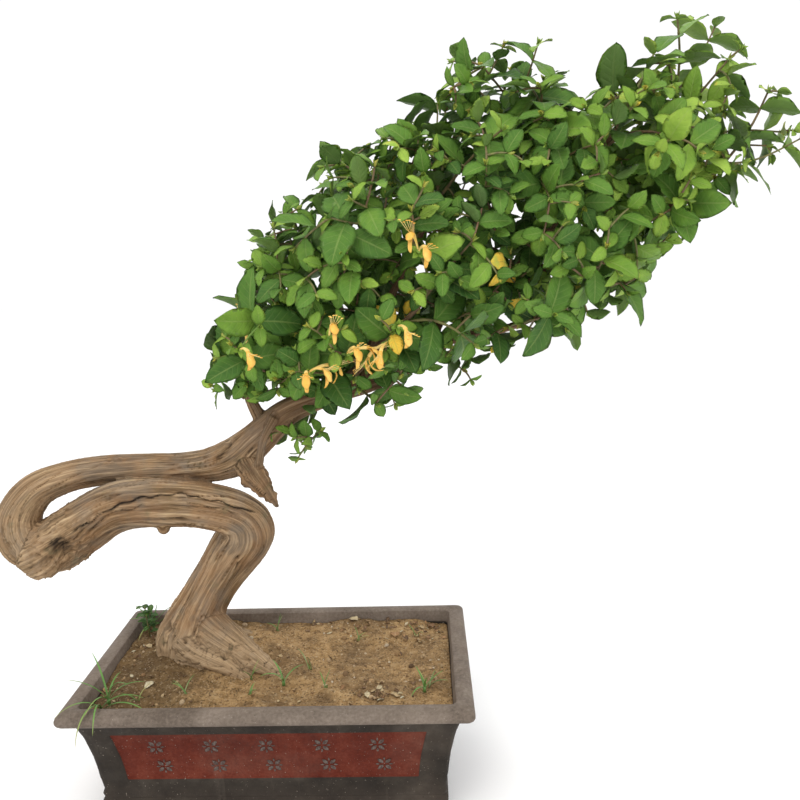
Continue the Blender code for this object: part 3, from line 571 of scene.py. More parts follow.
def grow_twig(crown, owner, rows, rng):
    """The path of a side twig on the shoot, clear of all the other nodes, or None."""
    for _ in range(TWIG_TRIES):
        point, axis = along_stem(rows, path_length(rows) * rng.uniform(0.35, 0.65))
        out = turned(axis.orthogonal().normalized(), axis, rng.uniform(0, 2 * math.pi))
        reach = rng.uniform(*TWIG_LENGTH)
        lift = Vector((0, 0, 0.25 * reach))
        path = [point + (out * (0.80 * t) + axis * (0.35 * t + 0.30 * t * t)) * reach + lift * t * t
                for t in (0.0, 0.25, 0.6, 1.0)]
        shape = twig_shape(path)
        if crown.clear(shape, (owner, owner + ":stem")):
            crown.add(shape, owner + ":stem")
            return path
    return None


def twig_shape(path):
    return tube(list(zip(path, TWIG_RADII)), STEM_SIDES)


def bloom_shapes(base, along, up, scale):
    """One two-lipped flower: a slender tube, a broad lip that curls back and a strap below."""
    length = BLOOM_TUBE * scale
    rows = [(base + along * (length * t) + up * (0.004 * math.sin(2.2 * t)), 0.0010 + 0.0009 * t)
            for t in (0.0, 0.5, 1.0)]
    mouth = rows[-1][0] - along * 0.002
    lip = BLOOM_LIP * scale
    return [
        tube(rows, 4),
        blade(mouth, (along + up * 0.25).normalized(), -up, lip, 0.0085, -2.2, 0.06, LIP, 0.0012),
        blade(mouth, (along - up * 0.35).normalized(), up, lip * 1.05, 0.0042, 2.4, 0.06, LIP, 0.0012),
    ]


def foot_on_stem(stems, point, out):
    """Where a stalk's foot, brought in from that side, stands GAP off the stem."""
    foot = None
    for step in range(50, 0, -1):
        closer = point + out * (0.0001 * step)
        ring = tube([(closer, 0.0012), (closer + out * 0.001, 0.0012)], 4)[0]
        if min(stem.find_nearest(p)[3] for stem in stems for p in ring) < GAP * 0.7:
            break
        foot = closer
    return foot


def stalk_shape(foot, crotch):
    return tube([(foot, 0.0012), (crotch, 0.0016)], 4)


def grow_bunch(crown, name, owner, rows, blooms, rng):
    """(foot, crotch, blooms) of the flowers on a shoot, on a stalk just off its stem, or None."""
    for attempt in range(BUNCH_TRIES):
        point, axis = along_stem(rows, 0.010 + 0.0008 * attempt)
        out = Vector((rng.uniform(-0.3, 0.5), -1.0, rng.uniform(0, 0.5)))
        out = (out - axis * out.dot(axis)).normalized()
        foot = foot_on_stem(crown.trees_of(owner + ":stem"), point, out)
        if not foot:
            continue
        crotch = foot + out * 0.006
        found = []
        for k in range(blooms):
            fan = (k - (blooms - 1) / 2) * (1.1 + 0.011 * attempt)
            along = (out + axis * math.sin(fan) + Vector((0, 0, 0.5 - 0.25 * k))).normalized()
            up = (UPWARD - along * along.z).normalized()
            found.append((crotch - along * 0.0005, along, up, 0.95 + 0.1 * rng.random()))
        shapes = [stalk_shape(foot, crotch)] + [s for bloom in found for s in bloom_shapes(*bloom)]
        if all(crown.clear(shape, (name,)) for shape in shapes):
            for shape in shapes:
                crown.add(shape, name)
            return foot, crotch, found
    return None


def stems_of(shoot):
    return [rows for rows in (shoot["rows"], shoot["twig"]) if rows]


def grow_crown(crown):
    """All the shoots, each a dict of its name, stem rows, twig, leaves and flowers."""
    rng = random.Random(SEEDS["crown"])
    tips = [(Vector(tip), blooms) for tip, blooms in FLOWER_TIPS]
    tips += [(Vector(tip) - outward(Vector(tip)) * TIP_INSET, 0) for tip in OUTLINE_TIPS]
    tips += [(Vector(tip), 0) for tip in (*FRONT_TIPS, *BACK_TIPS)]
    shoots = []
    for number, (tip, blooms) in enumerate(tips, 1):
        for _ in range(SHOOT_TRIES):
            sway = Vector((rng.uniform(-0.08, 0.08), rng.uniform(-0.08, 0.08), rng.uniform(-0.04, 0.10)))
            seated = seat(crown.stem_path(tip, sway), crown)
            if seated:
                break
        if not seated:
            print("no clear way for shoot", number)
            continue
        shoot = {"name": f"shoot_{number:02d}", "rows": seated[0], "blooms": blooms, "twig": None}
        crown.add(seated[1], shoot["name"] + ":stem")
        shoots.append(shoot)
    for number, shoot in enumerate([s for s in shoots if s["blooms"]], 1):
        name = f"flowers_{number}"
        shoot["bunch"] = (name, grow_bunch(crown, name, shoot["name"], shoot["rows"], shoot["blooms"], rng))
    for shoot in shoots:
        if path_length(shoot["rows"]) > TWIG_STEM:
            shoot["twig"] = grow_twig(crown, shoot["name"], shoot["rows"], rng)
    for shoot in shoots:
        shoot["leaves"] = [leaf for rows in stems_of(shoot)
                           for leaf in shoot_leaves(crown, shoot["name"], rows, rng)]
    return shoots


# The finer crown

EXTRA_TWIGS = 760
EXTRA_SHAPE = (0.50, 0.075)  # size of a side twig's tip leaves, and its length at most
OUTLYING_SHAPE = (0.34, 0.16)
TWIG_GROUPS = 10  # pieces that the side twigs are shared out to
TREE_REFRESH = 40  # side twigs grown before their stems carry others too
CROWN_MIDDLE = 0.04  # y of the crown's middle plane
CROWN_SPAN = ((-0.08, 0.56), (0.36, 0.83))  # x and z that the crown lies within
DEEPEST = 0.115  # half the crown's depth in its middle
CROWN_OUTLINE = (  # x and z round the crown, on its middle plane
    (-0.08, 0.49), (-0.06, 0.53), (-0.03, 0.56), (-0.03, 0.61), (0.01, 0.64), (0.03, 0.69), (0.07, 0.70),
    (0.11, 0.72), (0.16, 0.73), (0.19, 0.77), (0.22, 0.79), (0.30, 0.77), (0.35, 0.75), (0.40, 0.78),
    (0.43, 0.82), (0.45, 0.75), (0.50, 0.77), (0.50, 0.71), (0.55, 0.70), (0.50, 0.64), (0.45, 0.61),
    (0.41, 0.53), (0.35, 0.50), (0.27, 0.47), (0.20, 0.45), (0.15, 0.42), (0.07, 0.43), (0.03, 0.37),
    (-0.01, 0.38), (-0.01, 0.42), (-0.07, 0.44),
)
OUTLYING = (  # tips of thin twigs that stand out of the crown
    (0.425, 0.04, 0.816), (0.491, 0.04, 0.779), (0.531, 0.04, 0.738), (0.550, 0.04, 0.700),
    (0.527, 0.04, 0.677), (0.492, 0.04, 0.663), (0.026, 0.03, 0.370), (0.000, 0.02, 0.400),
    (0.135, 0.03, 0.428), (0.218, 0.03, 0.453), (0.055, 0.01, 0.405), (-0.060, 0.02, 0.455),
    (0.255, 0.04, 0.790), (0.205, 0.05, 0.780),
)
LONE_BLOOMS = (  # base and heading
    ((-0.006, -0.072, 0.506), (0.45, -0.75, -0.10)), ((0.079, -0.074, 0.515), (0.25, -0.80, 0.45)),
    ((0.144, -0.072, 0.524), (0.30, -0.85, -0.15)),
)


def ovate(t):
    """Half-width share of a leaf: a short stalk, a rounded base and a drawn tip."""
    t = np.clip((t - 0.07) / 0.93, 0, 1)
    return np.maximum(np.sin(np.pi * t**0.78) ** 0.74, np.where(t < 0.3, 0.045, 0.01))


def lobed_lip(t):
    """Half-width share of a petal: narrow at the throat and broad before its round end."""
    return np.maximum((0.35 + 0.65 * np.sin(np.pi * np.clip(t, 0, 1) ** 1.3 * 0.78)) * np.sqrt(
        np.clip(1.02 - t**8, 0, 1)), 0.05)


def grass_share(t):
    return np.maximum(np.sqrt(1 - t) * (0.55 + 0.9 * t * (1 - t)), 0.02)


def add_object(name, data):
    made = bpy.data.objects.new(name, data)
    bpy.context.scene.collection.objects.link(made)
    return made


def applied_mesh(holder):
    """A new mesh of the object with its modifiers applied."""
    graph = bpy.context.evaluated_depsgraph_get()
    return bpy.data.meshes.new_from_object(holder.evaluated_get(graph))


def set_values(mesh, label, values):
    """One number for each point of the mesh, for its material to read."""
    layer = mesh.attributes.new(label, "FLOAT", "POINT")
    layer.data.foreach_set("value", np.asarray(values, np.float32))


def finish_piece(mesh, name, look, nodes=()):
    """The mesh as a piece that rides on the body, in the place of the nodes."""
    mesh.materials.append(look)
    mesh.shade_smooth()
    made = add_object(name, mesh)
    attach(made, "root")
    if nodes:
        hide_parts(*nodes)
    return made


class Batch:
    """Collects many small closed meshes into one, with the values that their material reads."""

    def __init__(self):
        self.points, self.faces, self.uv, self.tone, self.under = [], [], [], [], []
        self.count = 0

    def take(self, points, faces, uv=None, tone=0.5, under=None):
        size = len(points)
        self.points.append(np.array([tuple(p) for p in points]))
        self.faces += [[i + self.count for i in face] for face in faces]
        self.uv.append(np.zeros((size, 2)) if uv is None else uv)
        self.tone.append(np.full(size, tone))
        self.under.append(np.zeros(size) if under is None else under)
        self.count += size

    def leaf(self, base, along, up, length, width, droop, fold, share=ovate, grid=(8, 6),
             thick=0.00035, wave=0.0, phase=0.0, cup=0.0, tone=0.5):
        """A closed leaf or petal: two sheets that meet at its edge."""
        along, up = np.array(along, float), np.array(up, float)
        along /= np.linalg.norm(along)
        side = np.cross(along, up)
        side /= np.linalg.norm(side)
        up = np.cross(side, along)
        rows, cols = grid
        t = np.linspace(0, 1, rows + 1)[:, None]
        u = np.linspace(-1, 1, cols + 1)[None, :]
        bend = droop if abs(droop) > 0.01 else 0.01
        ahead = length * np.sin(bend * t) / bend
        down = length * (1 - np.cos(bend * t)) / bend
        middle = np.array(base, float) + along * ahead[..., None] - up * down[..., None]
        normal = up * np.cos(bend * t)[..., None] + along * np.sin(bend * t)[..., None]
        half = share(t) * width / 2
        lift = np.abs(u) * half * fold + cup * half * u * u
        lift = lift + wave * width * np.sin(2 * np.pi * (2.3 * t + 0.2 * np.sign(u)) + phase) * u * u
        top = middle + side * (u * half)[..., None] + normal * lift[..., None]
        body = np.minimum(1, 4 * share(t)) * (1 - u * u)
        low = top - normal * (thick * body)[..., None]
        inner = [(i, j) for i in range(1, rows) for j in range(1, cols)]
        number = {(i, j): i * (cols + 1) + j for i in range(rows + 1) for j in range(cols + 1)}
        under = dict(number)
        for k, key in enumerate(inner):
            under[key] = (rows + 1) * (cols + 1) + k
        faces = []
        for i in range(rows):
            for j in range(cols):
                a, b, c, d = (i, j), (i, j + 1), (i + 1, j + 1), (i + 1, j)
                faces.append([number[a], number[b], number[c], number[d]])
                faces.append([under[d], under[c], under[b], under[a]])
        points = np.vstack([top.reshape(-1, 3), np.array([low[i, j] for i, j in inner])])
        tt, uu = np.broadcast_to(t, (rows + 1, cols + 1)), np.broadcast_to(u, (rows + 1, cols + 1))
        uv = np.stack([uu, tt], axis=-1)
        uv = np.vstack([uv.reshape(-1, 2), np.array([uv[i, j] for i, j in inner])])
        flags = np.concatenate([np.zeros((rows + 1) * (cols + 1)), np.ones(len(inner))])
        self.take(points, faces, uv, tone, flags)

    def rod(self, rows, radii, sides=7, tone=0.5):
        path = [(Vector(p), float(r)) for p, r in zip(rows, radii)]
        self.take(*tube(path, sides), tone=tone)

    def piece(self, name, look, slot, nodes=()):
        """The batch as one object that rides on the body."""
        mesh = bpy.data.meshes.new(name)
        points = np.vstack(self.points) + np.array(SHIFT)
        mesh.from_pydata(points.tolist(), [], self.faces)
        uv = np.vstack(self.uv)
        layer = mesh.uv_layers.new(name="blade")
        corner = np.zeros(len(mesh.loops), np.int32)
        mesh.loops.foreach_get("vertex_index", corner)
        layer.data.foreach_set("uv", uv[corner].astype(np.float32).ravel())
        set_values(mesh, "tone", np.concatenate(self.tone))
        set_values(mesh, "under", np.concatenate(self.under))
        return finish_piece(mesh, name, look, nodes)


def smooth_rows(rows, steps):
    """More points along a stem, on the curve through its rows."""
    knots = [(*row, 0.001) for row in rows]
    return [p for p, _ in smooth_path(knots, steps)]


def fine_stem(batch, rows, radii, tone):
    path = smooth_rows(rows, 3)
    widths = np.interp(np.linspace(0, 1, len(path)), np.linspace(0, 1, len(radii)), radii)
    batch.rod(path, widths, 8, tone)


YELLOWED = ((0.167, 0.543), (0.236, 0.580), (0.256, 0.551), (0.140, 0.520))  # x and z of old leaves


def leaf_tone(base, size, rng):
    """Leaves are paler at the tips, at both ends of the crown and on top, and a few have turned yellow."""
    if size < 0.85 and rng.random() < 0.45 and any(
            math.hypot(base[0] - x, base[2] - z) < 0.013 for x, z in YELLOWED):
        return 1.0
    left = min(1.0, max(0.0, (0.24 - base[0]) / 0.28))
    right = min(1.0, max(0.0, (base[0] - 0.24) / 0.24))
    high = min(1.0, max(0.0, (base[2] - 0.490 - 0.5 * base[0]) / 0.12))
    tone = 0.39 + 0.08 * left + 0.30 * right + 0.12 * high - 0.16 * (size - 0.6) + rng.gauss(0, 0.11)
    return min(0.86, max(0.04, tone + (0.12 if size < 0.52 else 0.0)))


def dress_leaf(batch, leaf, rng):
    base, along, up, length, width, droop, fold = leaf
    size = length / LEAF_SIZE[0]
    grid = (9, 6) if size > 0.7 else (7, 4)
    batch.leaf(base, along, up, length, width, droop, fold + 0.10 + 0.14 * rng.random(), ovate, grid,
               wave=0.018 + 0.03 * rng.random(), phase=6.28 * rng.random(), cup=rng.uniform(-0.10, 0.12),
               tone=leaf_tone(base, size, rng))


def dress_shoots(shoots, looks):
    rng = random.Random(SEEDS["shoots"])
    for shoot in shoots:
        stems, leaves = Batch(), Batch()
        fine_stem(stems, shoot["rows"], STEM_RADIUS, rng.random())
        if shoot["twig"]:
            fine_stem(stems, shoot["twig"], TWIG_RADII, rng.random())
        for leaf in shoot["leaves"]:
            dress_leaf(leaves, leaf, rng)
        for rows in stems_of(shoot):
            tip_bud(leaves, rows)
        stems.piece(shoot["name"] + "_stem", looks["stem"], "leaf", [shoot["name"]])
        leaves.piece(shoot["name"] + "_leaves", looks["leaf"], "leaf", [shoot["name"]])


def tip_bud(batch, rows):
    """Four scale-like young leaves closed over the growing tip."""
    point, axis = along_stem(rows, 0.0)
    side = axis.orthogonal().normalized()
    for k in range(4):
        out = turned(side, axis, k * math.pi / 2 + 0.4)
        along = (axis + out * (0.55 if k % 2 else 0.30)).normalized()
        size = 0.009 if k % 2 else 0.007
        batch.leaf(point - axis * 0.001, along, axis - out * 0.5, size, size * 0.5, -0.4, 0.5, ovate, (4, 4),
                   thick=0.0003, tone=0.90)


def edge_distance(x, z):
    """How far inside the crown's outline a place is, or below zero outside it."""
    corners = np.array(CROWN_OUTLINE)
    after = np.roll(corners, -1, axis=0)
    step = after - corners
    place = np.array((x, z))
    share = np.clip(((place - corners) * step).sum(1) / (step * step).sum(1), 0, 1)
    away = np.linalg.norm(corners + step * share[:, None] - place, axis=1).min()
    crosses = (corners[:, 1] > z) != (after[:, 1] > z)
    cut = corners[:, 0] + (z - corners[:, 1]) * step[:, 0] / np.where(step[:, 1] == 0, 1e-9, step[:, 1])
    return away if (crosses & (x < cut)).sum() % 2 else -away


def crown_place(rng):
    """A random place within the crown, which is deepest in its middle."""
    eye = Vector(CAMERA)
    while True:
        x, z = (rng.uniform(*span) for span in CROWN_SPAN)
        inside_by = edge_distance(x, z)
        if inside_by < 0.016:
            continue
        depth = DEEPEST * math.sqrt(min(1.0, inside_by / 0.09))
        y = CROWN_MIDDLE + depth * math.copysign(rng.random() ** 0.7, rng.random() - 0.58)
        place = Vector((x, CROWN_MIDDLE, z))
        if y < CROWN_MIDDLE:  # nearer places keep within the outline too
            return eye + (place - eye) * ((y - eye.y) / (CROWN_MIDDLE - eye.y))
        return Vector((x, y, z))


BLOOM_VIEW = 0.024  # radius round a bloom that side leaves leave open to the camera


def hides(place, blooms):
    """True for a place in front of a bloom, as the camera sees it."""
    eye = Vector(CAMERA)
    ahead = (place - eye).normalized()
    for middle in blooms:
        away = middle - eye
        if (place - eye).length < away.length - 0.008 and away.cross(ahead).length < BLOOM_VIEW:
            return True
    return False


def grow_extra(crown, shoots):
    """Slender twigs with smaller leaves that fill the crown between the shoots."""
    rng = random.Random(SEEDS["side twigs"])
    carriers = [point for point, _, radius in crown.wood if radius < THIN_WOOD]
    for shoot in shoots:
        for rows in stems_of(shoot):
            carriers += smooth_rows(rows, 4)
    blooms = [Vector(base) + Vector(headed) * 0.03 for base, headed in LONE_BLOOMS]
    for shoot in shoots:
        found = (shoot.get("bunch") or (None, None))[1]
        blooms += [base + along * 0.03 for base, along, _, _ in (found[2] if found else ())]
    extra = []
    targets = [Vector(tip) for tip in OUTLYING] + [None] * EXTRA_TWIGS
    for number, target in enumerate(targets):
        if number % TREE_REFRESH == 0:
            tree = KDTree(len(carriers))
            for i, place in enumerate(carriers):
                tree.insert(place, i)
            tree.balance()
        tip_size, longest = OUTLYING_SHAPE if target else EXTRA_SHAPE
        target = target or crown_place(rng)
        root = tree.find(target)[0]
        reach = (target - root).length
        if reach < 0.010:
            continue
        away = (target - root).normalized()
        reach = min(reach, longest)
        lift = Vector((0.15, 0, 0.25)) * reach
        path = [root + away * (reach * t) + lift * t * (1 - t) for t in (0.0, 0.3, 0.65, 1.0)]
        leaves = twig_leaves(crown, f"extra_{number:03d}", path, rng, tip_size)
        leaves = [leaf for leaf in leaves if not hides(leaf[0] + leaf[1] * (leaf[3] * 0.5), blooms)]
        if leaves:
            extra.append((path, leaves))
            carriers += smooth_rows(path, 3)[2:]
    return extra, carriers


def dress_lone_blooms(carriers, looks):
    """Single flowers on thin stalks at the front of the crown."""
    rng = random.Random(SEEDS["lone blooms"])
    petals, green = Batch(), Batch()
    for base, headed in LONE_BLOOMS:
        base, along = Vector(base), Vector(headed).normalized()
        root = min(carriers, key=lambda place: (place - base).length)
        stalk = smooth_rows([root, root.lerp(base, 0.5) + Vector((0, 0, 0.002)), base], 4)
        green.rod(stalk, np.full(len(stalk), 0.0008), 8, 0.5)
        up = (UPWARD - along * along.z).normalized()
        add_bracts(green, base, along, up, 1.0, (0.010, 0.005))
        dress_bloom(petals, green, base, along, up, 0.95, rng)
    petals.piece("lone_bloom_petals", looks["petal"], "petal")
    green.piece("lone_bloom_stalks", looks["leaf"], "petal")


def dress_extra(extra, looks):
    rng = random.Random(SEEDS["side leaves"])
    for group in range(TWIG_GROUPS):
        stems, leaves = Batch(), Batch()
        for path, found in extra[group::TWIG_GROUPS]:
            fine_stem(stems, path, TWIG_RADII, rng.random())
            tip_bud(leaves, path)
            for leaf in found:
                dress_leaf(leaves, leaf, rng)
        if stems.count:
            stems.piece(f"side_twigs_{group + 1}_stem", looks["stem"], "leaf")
            leaves.piece(f"side_twigs_{group + 1}_leaves", looks["leaf"], "leaf")


def add_bracts(batch, place, out, side, spread, size):
    """Four small green leaves round the foot of a flower or of a bunch."""
    for k in range(4):
        way = turned(side, out, k * math.pi / 2)
        batch.leaf(place - out * 0.002, out + way * spread, out - way, *size, 0.3, 0.3, ovate, (5, 4),
                   tone=0.75)


def dress_flowers(shoots, looks):
    rng = random.Random(SEEDS["flowers"])
    for shoot in shoots:
        name, bunch = shoot.get("bunch", (None, None))
        if not bunch:
            continue
        foot, crotch, blooms = bunch
        petals, green = Batch(), Batch()
        green.rod([foot, crotch], (0.0011, 0.0015), 8, 0.5)
        out = (crotch - foot).normalized()
        add_bracts(green, crotch, out, out.orthogonal().normalized(), 0.8, (0.011, 0.006))
        for base, along, up, scale in blooms:
            dress_bloom(petals, green, base, along, up, scale, rng)
        petals.piece(name + "_petals", looks["petal"], "petal", [name])
        green.piece(name + "_bracts", looks["leaf"], "petal", [name])


def dress_bloom(petals, green, base, along, up, scale, rng):
    """A slender tube, two curled lips, five stamens and a longer style."""
    side = along.cross(up).normalized()
    length, lip = BLOOM_TUBE * scale, BLOOM_LIP * scale
    spots = np.linspace(0, 1, 9)
    rows = [base + along * (length * t) + up * (0.004 * math.sin(2.2 * t)) for t in spots]
    petals.rod(rows, 0.0009 + 0.0011 * spots**2, 10, 0.35)
    green.rod([base, base + along * 0.004], (0.0014, 0.0017), 8, 0.7)
    mouth = rows[-1] - along * 0.002
    petals.leaf(mouth, along + up * 0.25, -up, lip, 0.0085, -2.2, 0.30, lobed_lip, (14, 8), thick=0.0004,
                wave=0.10, phase=rng.random() * 6, cup=0.25, tone=0.6 + 0.3 * rng.random())
    petals.leaf(mouth, along - up * 0.35, up, lip * 1.05, 0.0042, 2.4, 0.25, lobed_lip, (14, 6), thick=0.0004,
                wave=0.05, cup=0.15, tone=0.6 + 0.3 * rng.random())
    for k in range(6):
        spread = (k - 2.5) / 2.5
        reach = lip * (0.95 if k < 5 else 1.2)
        tip = mouth + along * reach + side * (0.006 * spread) + up * (0.002 - 0.004 * abs(spread))
        bend = mouth.lerp(tip, 0.5) - up * 0.0015
        petals.rod([mouth, bend, tip], (0.00028, 0.00024, 0.0002), 5, 0.2)
        petals.rod([tip - side * 0.0012, tip, tip + side * 0.0012], (0.0003, 0.0005, 0.0003), 5, 0.95)


# The trunk

BARK_VOXEL = 0.00185
SAMPLE_BLOCK = 4000  # places that are compared with all the samples at once
BURL, BURL_REACH = (-0.256, 0.0, 0.285), 0.040
TRUNK_FOOT = 0.190  # height below which the wood is old and bleached
RAGGED_LIMB = 6  # the torn stub, by its number in limb_samples


def limb_samples():
    """Point, side, up, radius, run and number of the limb, at places along all the limbs."""
    rows = []
    for number, knots in enumerate((LOWER_LIMB, UPPER_LIMB, *ROOTS, *DEAD_STUBS, *BRANCHES)):
        run = 0.0
        last = None
        for point, radius, side, up in frames_along(smooth_path(knots, 10)):
            run += (point - last).length if last else 0.0
            last = point
            rows.append((*point, *side, *up, radius, run, number))
    return np.array(rows)


def fibre(turn, run, number, radius):
    """Height of the bark's strands, and how much of a furrow runs there."""
    swirl = turn + 5.0 * run + number
    wide = 0.8 + 28 * radius
    p = Vector((math.cos(swirl) * wide, math.sin(swirl) * wide, run * 11 + 9.1 * number))
    broad = noise.noise(p * 1.2)
    split = noise.noise(Vector((p.x * 2.3 + 5, p.y * 2.3, p.z * 0.9)))
    fine = noise.noise(Vector((p.x * 5, p.y * 5, p.z * 1.6)))
    hair = noise.noise(Vector((p.x * 11, p.y * 11, p.z * 3)))
    furrow = math.exp(-((split / 0.045) ** 2)) * min(1.0, max(0.0, 0.45 + 1.8 * broad))
    return 0.9 * broad + 0.6 * fine + 0.38 * hair, furrow


# Long dry crack on the front of the arch, and the hollow of the burl
CRACK = ((-0.225, 0.300), (-0.211, 0.308), (-0.176, 0.328), (-0.137, 0.341), (-0.098, 0.342), (-0.066, 0.331),
         (-0.035, 0.316), (-0.008, 0.300))
HOLLOWS = (  # place, radius, depth
    ((-0.228, -0.022, 0.291), 0.014, 0.009),
    ((-0.245, -0.020, 0.276), 0.006, 0.005),
    ((-0.218, -0.018, 0.312), 0.005, 0.005),
    ((-0.102, -0.004, 0.200), 0.006, 0.006),
    ((-0.107, -0.006, 0.170), 0.004, 0.004),
    ((-0.090, -0.010, 0.172), 0.0035, 0.004),
    ((-0.058, -0.020, 0.159), 0.004, 0.005),
    ((-0.035, -0.022, 0.153), 0.004, 0.004),
    ((-0.129, 0.010, 0.178), 0.005, 0.004),
    ((-0.250, 0.010, 0.360), 0.004, 0.004),
    ((-0.049, 0.022, 0.390), 0.004, 0.004),
    ((-0.187, 0.030, 0.374), 0.0045, 0.005),
)


def crack_depth(place):
    """How deep the crack cuts at a place on the front of the lower limb."""
    if place[1] > 0.025 or not CRACK[0][0] < place[0] < CRACK[-1][0]:
        return 0.0
    xs, zs = zip(*CRACK)
    jag = noise.noise(Vector((place[0] * 60, 3.1, 0)))
    off = place[2] - float(np.interp(place[0], xs, zs)) - 0.0020 * jag - 0.0008 * math.sin(300 * place[0])
    second = off + 0.0085 + 0.0030 * noise.noise(Vector((place[0] * 35, 8.7, 0)))
    ends = min(1.0, (place[0] - xs[0]) / 0.02, (xs[-1] - place[0]) / 0.02)
    wide = 0.0011 + 0.0009 * max(0.0, noise.noise(Vector((place[0] * 45, 5.5, 0))) + 0.3)
    partial = max(0.0, min(1.0, 0.4 + 3 * noise.noise(Vector((place[0] * 28, 1.7, 4)))))
    deep = math.exp(-((off / wide) ** 2)) + 0.7 * partial * math.exp(-((second / 0.0011) ** 2))
    return ends * 0.0034 * deep


def fold(x, y, z):
    """How deep a winding fold runs at a place: the wood is swirled at its foot and at the burl."""
    p = Vector((x, y, z))
    stray = noise.noise_vector(p * 34) * 0.022 + noise.noise_vector(p * 110) * 0.003
    q = (p + stray) * 74
    lines = abs(noise.noise(Vector((q.x, q.y, q.z * 1.3))))
    return math.exp(-((lines / 0.07) ** 2))


def wood_skin():
    """One closed skin over the limbs, the stubs and the branches."""
    raw = Batch()
    for points, faces in wood_shapes(*FINE_WOOD):
        raw.take(points, faces)
    mesh = bpy.data.meshes.new("wood")
    mesh.from_pydata(np.vstack(raw.points).tolist(), [], raw.faces)
    holder = add_object("wood", mesh)
    remesh = holder.modifiers.new("Remesh", "REMESH")
    remesh.mode = "VOXEL"
    remesh.voxel_size = BARK_VOXEL * 1
    skin = applied_mesh(holder)
    bpy.data.objects.remove(holder)
    return skin


def vertex_rows(mesh, key):
    rows = np.zeros(len(mesh.vertices) * 3)
    mesh.vertices.foreach_get(key, rows)
    return rows.reshape(-1, 3)


def nearest_samples(places, samples):
    """For each place, the sample of the limb whose surface is nearest."""
    nearest = np.zeros(len(places), int)
    for start in range(0, len(places), SAMPLE_BLOCK):
        part = places[start : start + SAMPLE_BLOCK]
        away = np.linalg.norm(part[:, None, :] - samples[None, :, :3], axis=2) - samples[None, :, 9]
        nearest[start : start + SAMPLE_BLOCK] = away.argmin(axis=1)
    return samples[nearest]


def hollow_depths(places, rough):
    """The rotted hollows, each with a low, ragged edge."""
    depths = np.zeros(len(places))
    for centre, reach, depth in HOLLOWS:
        off = np.linalg.norm((places - np.array(centre)) * (1, 0.6, 1), axis=1) / reach
        off = off * (1 + 0.55 * rough)
        depths += depth * np.exp(-(off**2) * 1.4) * (1 + 0.9 * rough)
        depths -= 0.30 * depth * np.exp(-((off - 1.6) ** 2) * 7)
    return depths


def build_trunk_piece(looks):
    """The skin of the wood, moved by its strands, folds, cracks and hollows."""
    noise.seed_set(SEEDS["bark"])
    skin = wood_skin()
    places, normals = vertex_rows(skin, "co"), vertex_rows(skin, "normal")
    chosen = nearest_samples(places, limb_samples())
    side, up = chosen[:, 3:6], chosen[:, 6:9]
    radius, start, number = chosen[:, 9], chosen[:, 10], chosen[:, 11]
    arm = places - chosen[:, :3]
    turn = np.arctan2((arm * up).sum(1), (arm * side).sum(1))
    run = start + (arm * np.cross(side, up)).sum(1)
    strands = np.array([fibre(*row) for row in zip(turn, run, number, radius)])
    height, furrow = strands[:, 0], strands[:, 1]
    crack = np.array([crack_depth(p) for p in places])
    rough = np.array([noise.fractal(Vector(p) * 130, 1.0, 2.0, 3) for p in places])
    folds = np.array([fold(*p) for p in places])
    hollow = hollow_depths(places, rough)
    burl = np.exp(-((np.linalg.norm(places - np.array(BURL), axis=1) / BURL_REACH) ** 2))
    foot = np.clip((TRUNK_FOOT - places[:, 2]) / 0.03, 0, 1)
    ragged = (number == RAGGED_LIMB) * 1.0

    depth = np.minimum(0.0024, 0.085 * radius + 0.0002)
    gnarl = rough * (0.0012 * burl + 0.0010 * foot + 0.0030 * ragged)
    gnarl -= folds * (0.0022 * burl + 0.0016 * foot)
    move = height * depth * 0.8 + gnarl - furrow * depth * 1.2 - crack - hollow
    skin.vertices.foreach_set("co", (places + normals * move[:, None] + np.array(SHIFT)).ravel())

    # Painted light and shade for the bark: the mask is high in the furrows, folds, cracks and hollows, where
    # it paints shade, and low on the raised strands, where it paints a highlight; the torn stub is darker all
    # over.
    painted_shade = 0.10 + 0.75 * furrow - 0.35 * height + (0.6 * folds - 0.25 * rough) * (burl + foot)
    painted_shade += crack / 0.0034 + np.clip(hollow / 0.008, 0, 0.75) + 0.35 * ragged
    arch = np.clip((-0.20 - places[:, 0]) / 0.05, 0, 1)
    young = np.clip((places[:, 0] + 0.06) / 0.10, 0, 1) * np.clip((places[:, 2] - 0.36) / 0.05, 0, 1)
    set_values(skin, "furrow", np.clip(painted_shade, 0, 1))
    set_values(skin, "old", np.maximum(foot, arch * 0.45))
    set_values(skin, "young", young)
    wrap = np.stack([np.cos(turn) * 0.02, np.sin(turn) * 0.02, run], axis=1).astype(np.float32)
    skin.attributes.new("wrap", "FLOAT_VECTOR", "POINT").data.foreach_set("vector", wrap.ravel())
    skin.name = "trunk_bark"
    finish_piece(skin, "trunk_bark", looks["bark"], ["trunk"])


# The pot

CORNER_STEPS = 6
RIM_POINTS = 9
LIP_HEIGHT, LIP_RADIUS = 0.1425, 0.0068
WALL_TOP = 0.1346  # rows of the outer wall above this give way to the rounded lip
PANEL_CURVE = ((9, (0.112, 0.0193, 1.0)), (8, (0.074, 0.0260, 1.0)))  # rows that round the panel
FINE_LIP = ((0.1499, 0.0125), (0.1494, 0.0155))  # inner side of the lip


